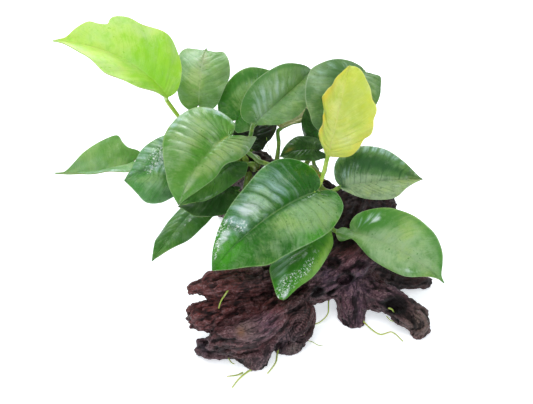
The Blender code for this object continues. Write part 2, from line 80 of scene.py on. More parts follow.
# Half of a blade's margin, from the notch at the stalk round to the tip, as shares of the half width and
# the length. Below zero the second share is of the lobe's depth.
HEART_HALF = (
    (0.00, 0.00), (0.20, -0.75), (0.52, -1.00), (0.84, -0.30), (0.99, 0.17), (0.97, 0.36),
    (0.80, 0.59), (0.50, 0.79), (0.20, 0.93), (0.00, 1.00),
)
OVATE_HALF = (
    (0.00, 0.00), (0.14, -0.80), (0.37, -1.00), (0.63, -0.35), (0.88, 0.08), (1.00, 0.27),
    (0.92, 0.52), (0.66, 0.76), (0.29, 0.94), (0.00, 1.00),
)
WEDGE_HALF = (
    (0.00, 0.00), (0.20, -0.60), (0.42, -0.20), (0.66, 0.04), (0.88, 0.12), (1.00, 0.26),
    (0.92, 0.48), (0.68, 0.73), (0.30, 0.93), (0.00, 1.00),
)
HEART = (HEART_HALF, HEART_HALF)
WEDGE = (WEDGE_HALF, WEDGE_HALF)
OVATE = (OVATE_HALF, OVATE_HALF)
OVATE_LEFT = (OVATE_HALF, HEART_HALF)
OVATE_RIGHT = (HEART_HALF, OVATE_HALF)

Leaf = namedtuple(
    "Leaf",
    "name base tip left right widest sag crown lobes ruffle waves margins foot via lean thick sway",
    defaults=(1.0, 3, HEART, (0.5, 0), (), 0.35, 1.6, 0.0),
)

# The same leaves as in the solids. base and tip are the ends of the midrib, and left and right are the
# margin where the blade is widest, which is at the share widest of its length. sag is how far the midrib
# rises over the straight line from base to tip, and crown how far each half bulges. foot is where the
# stalk leaves the rhizome: the share of its length and the degrees round it from the top towards the
# front. via are points that the stalk passes.
LEAVES = (
    Leaf("01", (-69, 45, 138), (-141, 35, 188), (-97, 16, 170), (-84, 60, 186), 0.40, 9, 2, (0.00, 0.05),
         1.4, 4, OVATE_LEFT, foot=(0.04, 0), via=((-50, 44, 104),), lean=2.0, sway=6),
    Leaf("02", (-49, 60, 122), (-44, 96, 148), (-66, 74, 138), (-26, 76, 141), 0.48, 10, 2, (0.05, 0.05),
         1.8, 3, WEDGE, foot=(0.12, -50), via=((-42, 62, 102),)),
    Leaf("03", (-22, 60, 109), (10, 84, 133), (-25, 77, 135), (2, 58, 117), 0.35, 5, 2, (0.16, 0.16),
         foot=(0.19, -20), via=((-28, 54, 94),)),
    Leaf("04", (-8, 37, 122), (33, 74, 142), (1, 56, 151), (13, 34, 125), 0.32, 5, 3, (0.20, 0.04),
         margins=OVATE_RIGHT, foot=(0.26, 5), via=((-17, 46, 89), (-12, 44, 104))),
    Leaf("05", (11, 62, 101), (42, 86, 98), (19, 84, 107), (27, 70, 101), 0.45, 2, 1, (0.10, 0.06),
         margins=WEDGE, foot=(0.50, -15), via=((9, 57, 90),), lean=1.0),
    Leaf("06", (69, 60, 149), (38, 38, 113), (79, 43, 138), (27, 46, 146), 0.34, 6, 3, (0.04, 0.15),
         margins=(WEDGE_HALF, HEART_HALF), foot=(0.92, 10),
         via=((40.5, 31, 81), (44, 33, 97), (54, 46, 128))),
    Leaf("07", (36, 60, 87), (29, 74, 110), (27, 66, 95), (42, 66, 97), 0.40, 3, 1, (0.12, 0.12),
         foot=(0.83, -95), via=((35, 56, 75),), lean=2.5),
    Leaf("08", (37, 46, 92), (10, 45, 87), (24, 36, 90), (24, 53, 99), 0.40, 5, 1, (0.28, 0.20),
         foot=(0.79, -20)),
    Leaf("09", (43, 20, 105), (56, 36, 169), (37, 26, 123), (76, 24, 132), 0.30, 3, 2, (0.02, 0.05), 1.6,
         5, foot=(0.77, 75), via=((31, 22, 74), (38, 20, 81)), lean=3.0),
    Leaf("10", (53, 16, 82), (109, 8, 94), (70, 28, 109), (80, -2, 86), 0.30, 5, 3, (0.14, 0.08),
         margins=OVATE_RIGHT, foot=(0.98, 165), via=((46, 21, 73),), lean=1.5),
    Leaf("11", (61, -8, 59), (120, -50, 50), (96, -14, 81), (78, -32, 53), 0.38, 5, 3, (0.03, 0.16),
         margins=OVATE, foot=(0.78, 135), via=((42, 14, 60), (48, 2, 53)), lean=1.5, sway=-5),
    Leaf("12", (34, 0, 89), (-36, -55, 65), (39, -30, 77), (-6, 2, 107), 0.25, 9, 4, (0.12, 0.13),
         foot=(0.66, 60), lean=1.5, sway=5),
    Leaf("13", (37, -8, 63), (11, -64, 47), (43, -24, 53), (5, -34, 53), 0.40, 6, 2, (0.10, 0.10),
         foot=(0.68, 115), lean=3.0),
    Leaf("14", (-25, 15, 126), (-58, -35, 105), (-19, 2, 114), (-61, 14, 138), 0.27, 8, 3, (0.20, 0.20),
         foot=(0.46, 20), via=((-6, 37, 89), (-13, 30, 101)), sway=5),
    Leaf("15", (-49, 18, 112), (-95, -16, 111), (-69, -14, 92), (-73, 14, 125), 0.40, 5, 3, (0.12, 0.12),
         foot=(0.13, 30), via=((-37, 39, 97),)),
    Leaf("16", (-97, 27, 94), (-150, 27, 85), (-112, 10, 98), (-112, 46, 105), 0.42, 0, 2, (0.04, 0.04),
         margins=WEDGE, foot=(0.03, 45), via=((-52, 36, 80), (-76, 28, 84)), lean=1.0, sway=-4),
    Leaf("17", (-49, 26, 58), (-81, -20, 43), (-43, 8, 54), (-71, 12, 52), 0.42, 2, 2, (0.10, 0.10),
         foot=(0.16, 110), via=((-34, 36, 64),), lean=1.5),
    Leaf("18", (-22, 32, 91), (-61, 0, 77), (-30, 12, 81), (-44, 20, 88), 0.40, 4, 2, (0.12, 0.12),
         foot=(0.35, 30), lean=1.0),
    Leaf("19", (-22, 20, 75), (-63, 10, 68), (-38, -2, 69), (-44, 22, 74), 0.40, 4, 2, (0.12, 0.12),
         foot=(0.32, 95), lean=2.0),
    Leaf("20", (-11, 53, 88), (-3, 82, 101), (-25, 68, 97), (7, 72, 92), 0.55, 2, 1, (0.06, 0.06),
         margins=WEDGE, foot=(0.37, 0), lean=1.5),
)

# Margins of the blades that show best, left then right, in hundredths of the half width and of the length.
OWN_MARGINS = {
    "01": (
        ((0, 0), (20, 0), (42, 8), (76, 19), (98, 36), (99, 48), (86, 62), (62, 75), (38, 86), (16, 94),
         (0, 101)),
        ((0, 0), (24, -6), (49, -6), (75, -3), (95, 2), (110, 10), (113, 20), (110, 31), (102, 43),
         (97, 54), (86, 64), (76, 67), (62, 68), (55, 75), (52, 82), (31, 89), (11, 93), (5, 97),
         (0, 101)),
    ),
    "02": (
        ((0, 0), (22, -6), (44, -4), (70, 7), (84, 24), (88, 46), (100, 72), (98, 92), (80, 104),
         (47, 100), (20, 95), (0, 93)),
        ((0, 0), (35, -8), (63, -2), (84, 16), (97, 35), (96, 53), (86, 69), (64, 85), (38, 85), (18, 89),
         (0, 93)),
    ),
    "04": (
        ((0, 0), (12, -8), (24, -12), (43, -16), (60, -16), (76, -13), (95, -5), (106, 7), (108, 21),
         (101, 39), (88, 55), (62, 72), (32, 88), (0, 100)),
        ((0, 0), (25, 2), (55, 11), (95, 26), (118, 44), (124, 59), (105, 76), (60, 92), (0, 100)),
    ),
    "06": (
        ((0, 0), (16, 0), (32, 1), (58, 3), (82, 20), (98, 35), (104, 50), (90, 66), (58, 82), (26, 94),
         (0, 100)),
        ((0, 0), (13, -7), (42, -13), (70, -14), (89, -10), (104, -2), (112, 8), (106, 24), (95, 40),
         (77, 57), (51, 74), (30, 88), (5, 98), (0, 100)),
    ),
    "09": (
        ((0, 0), (26, 6), (49, 12), (67, 20), (104, 28), (88, 37), (102, 49), (106, 58), (134, 65),
         (115, 73), (84, 79), (70, 88), (35, 94), (0, 99)),
        ((0, 0), (25, -3), (54, -5), (71, 2), (79, 11), (93, 15), (94, 25), (91, 33), (93, 40), (87, 49),
         (74, 58), (64, 69), (47, 82), (33, 91), (16, 97), (0, 99)),
    ),
    "10": (
        ((0, 0), (10, -5), (24, -8), (50, -9), (74, -5), (87, 6), (96, 16), (97, 27), (90, 45), (75, 60),
         (47, 77), (22, 89), (4, 97), (0, 100)),
        ((0, 0), (15, -3), (33, -3), (73, 3), (101, 14), (114, 28), (110, 41), (87, 57), (43, 77),
         (10, 94), (0, 100)),
    ),
    "11": (
        ((0, 0), (10, -5), (26, -7), (47, -4), (70, 7), (92, 21), (101, 35), (103, 49), (97, 62),
         (85, 74), (59, 86), (34, 92), (10, 96), (0, 102)),
        ((0, 0), (-8, -3), (-22, -8), (-24, -14), (12, -16), (50, -15.5), (80, -14), (110, -12),
         (118, -9), (92, -4.5), (64, -1.5), (53, 2), (60, 8), (82, 16), (112, 30), (120, 45), (114, 59),
         (83, 74), (28, 88), (6, 95), (0, 102)),
    ),
    "12": (
        ((0, 0), (4, -5), (17, -11), (39, -10), (73, -4), (93, 6), (104, 19), (103, 33), (95, 48),
         (88, 60), (80, 73), (55, 84), (30, 93), (0, 100)),
        ((0, 0), (6, -5), (16, -9), (37, -11), (63, -8), (86, 0), (96, 11), (95, 24), (84, 40), (72, 57),
         (57, 71), (42, 82), (21, 93), (0, 100)),
    ),
    "13": (
        ((0, 0), (20, -6), (45, -2), (70, 10), (97, 24), (101, 43), (95, 60), (75, 75), (40, 88),
         (14, 98), (0, 100)),
        ((0, 0), (25, -6), (60, -4), (88, 10), (103, 28), (105, 45), (83, 62), (48, 83), (20, 96),
         (0, 100)),
    ),
    "14": (
        ((0, 0), (13, -2), (50, -8), (80, -8), (100, -21), (108, -12), (110, 9), (95, 27), (74, 37),
         (67, 46), (69, 57), (61, 68), (46, 79), (23, 90), (0, 99)),
        ((0, 0), (3, -6), (8, -13), (20, -21), (40, -23), (62, -20), (84, -9), (96, 6), (103, 22),
         (104, 41), (95, 56), (76, 70), (53, 82), (31, 92), (12, 97), (0, 99)),
    ),
    "16": (
        ((0, 0), (30, -14), (70, -12), (100, 2), (108, 20), (102, 37), (85, 55), (56, 76), (22, 90),
         (6, 97), (0, 105)),
        ((0, 0), (16, -12), (32, -6), (50, 10), (71, 21), (93, 31), (91, 45), (80, 58), (56, 70),
         (28, 81), (8, 90), (3, 97), (0, 105)),
    ),
}

# How strongly the side veins and the midrib of a blade are pressed in, in millimetres.
VEIN_DEPTH = {
    "14": 1.5, "12": 0.8, "11": 0.35, "10": 0.7, "01": 0.35, "09": 0.6, "06": 0.7, "16": 0.2,
}
PLAIN_VEIN_DEPTH = 0.5
RIB_DEPTH = {"14": 0.1, "12": 0.5, "02": 0.3, "09": 0.35}
PLAIN_RIB_DEPTH = 0.12
VEIN_COUNT = {"14": 16, "12": 14, "10": 15, "09": 14}

# In steps from one side vein to the next: how far a vein sweeps on towards the margin, how far it wavers,
# and how far the veins of the right half lie past those of the left, beyond this share of the half width.
VEIN_SWEEP = 0.35
VEIN_WAVER = 0.3
VEIN_STAGGER = 0.4
STAGGER_START = 0.06

# Relief of a blade: where the swell between two veins starts and ends, as shares of the half width, how
# sharp it is, half the width of the midrib's groove, and how unevenly the whole blade rises.
SWELL_START = 0.12
SWELL_END = 0.3
SWELL_POWER = 0.8
RIB_HALF = 0.05
DRIFT_RISE = 0.9
DRIFT_START = 0.2
WAVER_SHARE = 0.8

# Soft spots on the blades: the kind, the place along and across, the half sizes there, and the strength.
# Spots that mix in the sheen colour are painted sheen, gleam spots painted highlights and sparkle spots
# painted glints of light on water. Pale spots are partly the leaf's own paler green and partly painted sheen,
# and shade spots partly its own darker green and partly painted shade. Warm spots are the leaf's own
# yellowing.
Spot = namedtuple("Spot", "kind along across long wide strength")

SPOTS = {
    "01": (
        Spot("shade", 0.45, 0.10, 0.22, 0.35, 0.6),
        Spot("pale", 0.85, 0.0, 0.28, 1.5, 0.8),
        Spot("pale", 0.60, 0.95, 0.40, 0.25, 0.6),
        Spot("pale", 0.60, -0.85, 0.45, 0.35, 0.6),
    ),
    "02": (
        Spot("shade", 0.20, 0.0, 0.16, 0.6, 0.7),
        Spot("shade", 0.70, 0.75, 0.30, 0.30, 0.5),
        Spot("pale", 0.75, -0.3, 0.30, 0.6, 0.7),
        Spot("warm", 0.88, 0.05, 0.14, 0.25, 0.35),
    ),
    "03": (
        Spot("shade", 0.45, -0.80, 0.45, 0.22, 1.0),
        Spot("shade", 0.40, 0.60, 0.30, 0.4, 0.5),
        Spot("pale", 0.75, -0.1, 0.35, 0.5, 0.8),
    ),
    "04": (
        Spot("painted_sheen", 0.55, -0.45, 0.35, 0.35, 0.6),
        Spot("painted_sheen", 0.35, 0.1, 0.20, 0.35, 0.4),
        Spot("shade", 0.60, -0.95, 0.5, 0.14, 0.8),
        Spot("shade", 0.12, -0.4, 0.12, 0.5, 0.7),
        Spot("pale", 0.80, 0.5, 0.30, 0.5, 0.5),
    ),
    "05": (
        Spot("warm", 0.60, 0.0, 0.60, 1.6, 0.9),
    ),
    "06": (
        Spot("pale", 0.5, 0.2, 0.4, 0.7, 0.5),
        Spot("painted_sheen", 0.35, 0.75, 0.3, 0.25, 0.4),
        Spot("shade", 0.40, 0.45, 0.10, 0.3, 0.8),
        Spot("shade", 0.55, 0.25, 0.08, 0.3, 0.8),
        Spot("shade", 0.70, 0.55, 0.06, 0.3, 0.7),
    ),
    "08": (
        Spot("warm", 0.85, 0.40, 0.07, 0.20, 0.4),
        Spot("pale", 0.5, 0.6, 0.4, 0.3, 0.4),
    ),
    "09": (
        Spot("warm", 0.50, -0.97, 0.55, 0.16, 0.8),
        Spot("warm", 0.30, 0.90, 0.25, 0.20, 0.3),
        Spot("pale", 0.75, -0.20, 0.20, 0.4, 0.6),
        Spot("pale", 0.45, 0.35, 0.20, 0.3, 0.5),
        Spot("shade", 0.80, 0.30, 0.12, 0.3, 0.7),
    ),
    "10": (
        Spot("shade", 0.55, -0.55, 0.45, 0.26, 1.0),
        Spot("shade", 0.14, 0.10, 0.14, 0.40, 0.9),
        Spot("painted_sheen", 0.50, -0.95, 0.45, 0.14, 0.8),
        Spot("painted_sheen", 0.30, -0.35, 0.10, 0.20, 0.5),
        Spot("gleam", 0.45, -0.97, 0.30, 0.05, 0.5),
        Spot("gleam", 0.42, -0.42, 0.10, 0.22, 0.2),
        Spot("pale", 0.62, -0.02, 0.45, 0.16, 1.2),
        Spot("pale", 0.55, 0.60, 0.60, 0.60, 1.3),
    ),
    "11": (
        Spot("shade", 0.34, -0.50, 0.20, 0.42, 1.5),
        Spot("shade", 0.75, -0.95, 0.30, 0.12, 0.5),
        Spot("shade", 0.97, 0.0, 0.06, 0.8, 0.6),
        Spot("gleam", 0.38, -0.50, 0.05, 0.14, 0.8),
        Spot("painted_sheen", 0.30, -0.55, 0.10, 0.25, 0.6),
        Spot("pale", 0.65, 0.0, 0.50, 0.9, 1.0),
        Spot("gleam", 0.80, 0.75, 0.07, 0.14, 0.5),
    ),
    "12": (
        Spot("painted_sheen", 0.50, 0.55, 0.20, 0.40, 0.8),
        Spot("painted_sheen", 0.74, 0.50, 0.12, 0.42, 1.0),
        Spot("gleam", 0.70, 0.55, 0.05, 0.26, 0.9),
        Spot("gleam", 0.86, 0.72, 0.05, 0.20, 0.8),
        Spot("pale", 0.50, -0.45, 0.25, 0.45, 1.0),
        Spot("pale", 0.25, -0.70, 0.18, 0.35, 0.5),
        Spot("shade", 0.62, 0.02, 0.40, 0.13, 1.0),
        Spot("shade", 0.26, 0.55, 0.20, 0.50, 1.3),
        Spot("shade", 0.80, 0.45, 0.035, 0.40, 1.2),
        Spot("shade", 0.58, 0.50, 0.03, 0.40, 1.0),
        Spot("sparkle", 0.86, 0.85, 0.10, 0.20, 1.0),
        Spot("sparkle", 0.80, 0.40, 0.04, 0.20, 0.5),
    ),
    "13": (
        Spot("painted_sheen", 0.70, 0.70, 0.30, 0.25, 0.7),
        Spot("warm", 0.50, -0.85, 0.35, 0.22, 0.7),
        Spot("sparkle", 0.78, -0.50, 0.12, 0.28, 1.0),
        Spot("sparkle", 0.91, 0.45, 0.09, 0.60, 1.0),
        Spot("shade", 0.45, 0.35, 0.16, 0.30, 0.9),
        Spot("gleam", 0.97, 0.0, 0.04, 0.7, 0.7),
        Spot("gleam", 0.70, -0.05, 0.05, 0.12, 0.5),
    ),
    "14": (
        Spot("pale", 0.50, -0.45, 0.35, 0.40, 0.9),
        Spot("pale", 0.55, 0.60, 0.25, 0.40, 0.9),
        Spot("gleam", 0.22, 0.95, 0.12, 0.06, 0.7),
        Spot("painted_sheen", 0.22, 0.90, 0.14, 0.12, 0.9),
        Spot("painted_sheen", 0.55, 0.95, 0.08, 0.10, 0.8),
        Spot("shade", 0.24, 0.72, 0.09, 0.14, 1.0),
        Spot("shade", 0.85, 0.35, 0.08, 0.25, 0.7),
        Spot("shade", 0.86, -0.60, 0.10, 0.30, 0.8),
        Spot("shade", 0.72, -0.93, 0.20, 0.10, 0.7),
        Spot("pale", 0.90, -0.10, 0.10, 0.25, 0.8),
        Spot("warm", 0.35, 0.0, 0.16, 0.03, 0.7),
    ),
    "15": (
        Spot("gleam", 0.64, 0.32, 0.08, 0.22, 1.0),
        Spot("sparkle", 0.66, 0.35, 0.14, 0.45, 1.0),
        Spot("sparkle", 0.86, -0.10, 0.05, 0.30, 0.5),
        Spot("painted_sheen", 0.55, 0.85, 0.35, 0.22, 0.9),
        Spot("painted_sheen", 0.72, 0.10, 0.18, 0.40, 0.8),
        Spot("shade", 0.50, -0.10, 0.14, 0.25, 0.8),
        Spot("shade", 0.86, 0.30, 0.10, 0.30, 0.8),
        Spot("pale", 0.80, -0.50, 0.20, 0.30, 0.7),
    ),
    "16": (
        Spot("pale", 0.55, -0.3, 0.40, 0.5, 0.7),
        Spot("shade", 0.12, 0.0, 0.14, 1.0, 0.8),
        Spot("painted_sheen", 0.60, -0.95, 0.5, 0.12, 0.6),
    ),
    "17": (
        Spot("painted_sheen", 0.45, -0.1, 0.30, 0.9, 0.6),
        Spot("shade", 0.10, 0.0, 0.12, 1.0, 0.8),
        Spot("shade", 0.75, -0.5, 0.2, 0.3, 0.5),
    ),
    "18": (
        Spot("shade", 0.20, 0.0, 0.30, 1.2, 1.0),
        Spot("pale", 0.75, 0.5, 0.2, 0.3, 0.4),
        Spot("gleam", 0.65, -0.9, 0.15, 0.08, 0.4),
    ),
    "19": (
        Spot("pale", 0.6, -0.7, 0.4, 0.2, 0.4),
    ),
}

RHIZOME = (
    ((-34, 44, 79), 4.0),
    ((-23, 44, 78), 4.6),
    ((-12, 44, 75), 5.2),
    ((6, 44, 71), 5.6),
    ((20, 41, 71), 6.0),
    ((31, 35, 73), 5.8),
    ((38, 28, 80), 5.2),
)
RHIZOME_RINGS = 150
RHIZOME_SIDES = 40
LEAF_SCARS = 7
SCAR_RISE = 0.06
RHIZOME_END = (0.45, 9.0)
FINE_RINGS = 26
FINE_RING_DEPTH = 0.05
SKIN_LUMPS = 0.10

STALK_STAND_OFF = 1.2
STALK_OUTWARD = 1.5
STALK_LEAD = 9.0
STALK_LEAD_SHARE = 0.35
STALK_MEETS = 0.12
STALK_POINTS = 44
KEEL_POINTS = 26

# The stalk's foot is thicker by this share, fading over this many millimetres, and the whole stalk wobbles
# by a small share. The keel under the midrib starts and goes on at these shares of the stalk's radius,
# ends at this radius, and is sunk into the blade by this share.
SHEATH_SHARE = 0.55
SHEATH_REACH = 7.0
WOBBLE = 0.04
WOBBLE_TURNS = 23
KEEL_START = 0.95
KEEL_MIDDLE = 0.55
KEEL_TIP = 0.25
KEEL_SUNK = 0.55

# Ridges that run with the grain: waves round the limb, how far they turn along it in radians, and their
# height.
RIDGES = ((3, 2.0, 0.50), (5, -3.0, 0.45), (2, 9.0, 0.35), (7, 5.0, 0.30))
RIDGE_DEPTH = 0.09
LIMB_END = (0.55, 8.0)
LIMB_RINGS = 40
LIMB_SIDES = 28

Limb = namedtuple("Limb", "name path seed")

# Each limb of the wood: points on its centre line, with its half width across and its half height there.
LIMBS = (
    Limb("wood_trunk", (
        ((76, 58, 34), 19, 13), ((74, 38, 43), 25, 15), ((68, 15, 40), 27, 18), ((56, -5, 31), 22, 17),
        ((40, -17, 26), 18, 15), ((25, -27, 28), 15, 13), ((14, -33, 29), 11, 9),
    ), 3),
    Limb("wood_arm_upper", (
        ((24, -26, 32), 8, 8), ((8, -32, 37), 10, 10), ((-11, -41, 42), 10, 10.5), ((-35, -48, 44), 8.5, 9),
        ((-54, -51, 39), 4.5, 5),
    ), 5),
    Limb("wood_arm_lower", (
        ((22, -34, 22), 8, 7), ((-3, -46, 24), 10, 10), ((-27, -54, 25), 11, 11), ((-44, -59, 27), 9, 10),
        ((-54, -61, 28), 6, 6),
    ), 7),
    Limb("wood_bulge", (
        ((26, -38, 27), 9, 10), ((7, -58, 25), 12, 13), ((-10, -71, 21), 12, 14), ((-25, -73, 19), 10, 11),
        ((-38, -71, 13), 6, 7),
    ), 11),
    Limb("wood_foot_front", (
        ((-5, -62, 22), 12, 8), ((-9, -71, 11), 15, 8), ((-14, -78, -3), 13, 5),
    ), 13),
    Limb("wood_foot_left", (
        ((-12, -66, 4), 7, 6), ((-26, -68, 4), 8, 7), ((-38, -68, 5), 8, 7), ((-49, -67, 6), 6, 7),
    ), 17),
    Limb("wood_foot_middle", (
        ((24, -42, 24), 10, 12), ((22, -52, 14), 11, 11), ((15, -60, 6), 11, 9), ((13, -65, -5), 10, 7),
    ), 19),
    Limb("wood_foot_right", (
        ((57, -8, 26), 14, 14), ((61, -20, 17), 13, 13), ((62, -31, 8), 11, 10), ((62, -40, -5), 7, 8),
    ), 23),
    Limb("wood_leg_right", (
        ((64, -16, 20), 9, 10), ((76, -24, 15), 10, 11), ((90, -33, 15), 9, 10), ((102, -42, 12), 10, 9),
        ((109, -48, 7), 7, 9), ((107, -52, -4), 4, 6),
    ), 29),
    Limb("wood_arm_right", (
        ((60, 4, 30), 12, 12), ((78, -1, 19), 12, 11), ((96, -2, 10), 9, 8), ((110, 0, 5), 7, 6),
        ((121, 1, 4), 5, 4),
    ), 31),
    Limb("wood_limb_back", (
        ((68, 34, 44), 11, 11), ((46, 41, 51), 12, 11), ((22, 50, 56), 12, 11), ((2, 56, 64), 11, 11),
        ((-12, 59, 70), 10, 11), ((-28, 61, 71), 8, 8), ((-42, 62, 72), 5, 5),
    ), 37),
    Limb("wood_leg_back", (
        ((-8, 60, 64), 8, 8), ((-14, 68, 46), 9, 9), ((-22, 79, 26), 10, 9), ((-28, 86, 8), 10, 9),
        ((-29, 88, -5), 9, 8),
    ), 41),
)

# Knot holes and hollows: the middle of each, and its half sizes along X, Y and Z.
PITS = (
    ((56, -28, 33), (6.5, 6.0, 4.5)),
    ((36, -38, 29), (4.5, 5.0, 4.5)),
    ((46, -33, 24), (3.0, 4.0, 3.0)),
    ((90, -42, 21), (8.0, 6.5, 5.5)),
    ((46, -21, 43), (5.5, 3.5, 4.0)),
    ((-37, 80, 8), (3.0, 3.5, 3.0)),
)

# Clean gaps between two limbs: the middle, the half sizes, and how far the gap tips down towards the back.
NOTCHES = (((-50, -54, 38.0), (8.5, 26, 1.9), 38),)

# Grooves and crests that give this piece of wood its look: points along each, how wide it is and how high
# it stands, below zero for a groove.
Stroke = namedtuple("Stroke", "points wide high")
STROKES = (
    # Between the upper arm and the lower one, and along the upper arm.
    Stroke(((-44, -58, 37), (-36, -58, 38), (-19, -53, 41), (4, -45, 40)), 1.5, -3.0),
    Stroke(((-38, -46, 53), (-24, -42, 54), (-6, -36, 53)), 6.0, 2.6),
    Stroke(((-35, -51, 53), (-22, -46, 53), (-8, -41, 52), (6, -34, 47)), 1.3, -2.2),
    # Between the lower arm and the long swelling in front of it, and along the lower arm.
    Stroke(((-38, -69, 24), (-31, -67, 27), (-22, -62, 31), (-5, -58, 35), (11, -53, 37),
            (25, -38, 35)), 2.0, -4.2),
    Stroke(((-45, -66, 31), (-35, -63, 35), (-22, -56, 36), (-3, -48, 34), (13, -39, 33)), 1.3, -2.2),
    # The edge below the swelling, and the crest along it.
    Stroke(((-36, -77, 12), (-20, -83, 14), (-8, -82, 15), (0, -78, 19), (15, -65, 28),
            (25, -52, 33)), 1.8, -3.6),
    Stroke(((-36, -77, 20), (-26, -78, 27), (-17, -77, 31), (-3, -73, 34), (9, -63, 36)), 5.0, 2.2),
    # The crest from the neck over to the right leg, and the groove above it.
    Stroke(((30, -40, 31), (44, -30, 35), (63, -24, 36), (80, -26, 26), (97, -36, 24)), 2.6, 2.4),
    Stroke(((44, -21, 43), (56, -24, 39), (70, -20, 39), (89, -12, 18), (106, -8, 10)), 1.8, -3.2),
    # The ledge of the middle foot.
    Stroke(((4, -66, 6), (12, -68, 9), (20, -68, 10), (28, -62, 9)), 1.4, -3.2),
    # The front of the right foot and the outer end of the leg.
    Stroke(((47, -34, 22), (50, -36, 12), (52, -40, 4)), 1.6, -2.4),
    Stroke(((70, -34, 22), (73, -38, 14), (72, -42, 5)), 2.2, -3.0),
    Stroke(((98, -45, 22), (102, -49, 15), (104, -52, 6)), 1.8, -2.6),
    # Long furrows on the back of the trunk.
    Stroke(((50, -8, 50), (60, 6, 55), (68, 24, 59), (74, 44, 56)), 2.0, -3.4),
    Stroke(((66, -6, 52), (78, 10, 58), (86, 30, 57), (88, 50, 46)), 1.7, -2.8),
    Stroke(((92, 8, 40), (98, 26, 44), (96, 46, 40)), 1.9, -3.0),
)

# Growth rings that show on the worn end of the middle foot: their middle, how far they reach and their
# spacing.
RINGS = ((23, -63, 18), 16.0, 1.8)

# Limbs whose far end is broken off, in splinters.
LOOSE_ENDS = ("wood_arm_upper", "wood_arm_lower", "wood_foot_left", "wood_leg_right", "wood_arm_right",
              "wood_limb_back", "wood_bulge")

# Patches where the wood has another tone: the kind, the middle, how far it reaches and how strong it is.
Patch = namedtuple("Patch", "kind place reach strength")
PATCHES = (
    Patch("red", (-35, -50, 45), 22, 0.9),
    Patch("red", (-44, -63, 30), 14, 1.0),
    Patch("red", (2, -70, 28), 16, 0.8),
    Patch("red", (-8, -82, 22), 12, 0.7),
    Patch("red", (100, -38, 22), 12, 0.6),
    Patch("red", (60, -14, 42), 12, 0.6),
    Patch("red", (-4, -74, 33), 9, 0.9),
    # The grey and violet patches are partly the wood's own tint and partly painted sheen.
    Patch("grey", (-42, -70, 8), 14, 1.0),
    Patch("grey", (17, -66, 8), 14, 0.9),
    Patch("grey", (12, -72, 5), 9, 1.0),
    Patch("grey", (2, -84, 6), 12, 0.8),
    Patch("grey", (106, -48, 14), 14, 0.8),
    Patch("grey", (-30, -72, 20), 8, 0.6),
    Patch("violet", (-11, -77, 30), 12, 0.8),
    Patch("violet", (44, -30, 34), 13, 0.8),
    Patch("violet", (68, -25, 34), 15, 0.9),
    Patch("violet", (62, -40, 10), 15, 0.7),
    Patch("violet", (90, -34, 24), 10, 0.6),
    Patch("violet", (2, -72, 32), 10, 0.7),
    # The two pale patches beside the knot on the swelling are partly painted highlight.
    Patch("pale", (-16, -78, 32), 6, 0.5),
    Patch("pale", (108, -50, 12), 11, 1.0),
    Patch("pale", (-33, 84, 5), 12, 0.8),
    Patch("pale", (-10, -78, 31), 8, 0.5),
    Patch("pale", (20, -72, 6), 6, 0.8),
    Patch("knot", (-17, -79, 31.5), 2.6, 1.0),
    # The dark patches are painted shade: on the trunk's top under the leaves, by the rhizome, and in recesses
    # lower down.
    Patch("dark", (68, 26, 58), 34, 1.0),
    Patch("dark", (84, 10, 50), 24, 0.9),
    Patch("dark", (56, -4, 48), 10, 0.7),
    Patch("dark", (20, 44, 66), 44, 1.0),
    Patch("dark", (104, -4, 12), 22, 0.7),
    Patch("dark", (20, -40, 30), 10, 0.5),
    Patch("dark", (88, -42, 18), 7, 1.0),
    Patch("dark", (30, -58, 12), 7, 0.7),
    Patch("worn", (-8, -76, 27), 17, 1.0),
    Patch("worn", (6, -70, 30), 12, 0.8),
    Patch("worn", (70, 20, 56), 30, 0.9),
    Patch("worn", (62, -20, 36), 26, 0.8),
    Patch("worn", (-30, -50, 42), 24, 0.5),
)

# Relief of the wood that follows the grain: how high it stands, how long and how wide each mark is, and
# the seed of its noise. Bundles, furrows and slabs are coarse. Plates, splints, fibres, cracks and shards
# are fine.
Grain = namedtuple("Grain", "high long wide seed")
BUNDLES = Grain(1.0, 60.0, 7.5, 40)
FURROWS = Grain(-1.8, 40.0, 11.0, 60)
SLABS = Grain(1.5, 17.0, 8.0, 170)
PLATES = Grain(0.6, 22.0, 4.4, 80)
SPLINTS = Grain(0.32, 14.0, 2.2, 90)
FIBRES = Grain(0.2, 9.0, 1.1, 100)
CRACKS = Grain(1.0, 15.0, 5.5, 120)
SHARDS = Grain(1.0, 9.0, 3.0, 190)
BLOTCHES = Grain(0.6, 40.0, 5.0, 140)
CRACK_DEPTH = 1.1
CRACK_HALF = 0.05

# Relief that runs every way: how high it stands, how wide each lump is, and the seed of its noise.
LUMPS = ((1.7, 16.0, 21), (1.2, 7.5, 22))
CHIPS = ((0.5, 3.4, 23), (0.35, 1.9, 24))
STROKE_BEND = (1.6, 6.0, 34)
STROKE_WANDER = (0.5, 5.0, 31)
RING_HEIGHT = 0.45

# Splinters at the broken ends: how far back they reach, how high they stand, and the roughness between
# them.
SPLINTER_REACH = 8.0
SPLINTER_HEIGHT = 3.4
SPLINTER_ROUGHNESS = 1.2

# Within this height over the ground the relief fades out, so that the feet stay flat. The block that cuts
# the feet off level is this large, in metres.
GROUND_FADE = 1.2
GROUND_BLOCK = 0.6

Root = namedtuple("Root", "name points radius")

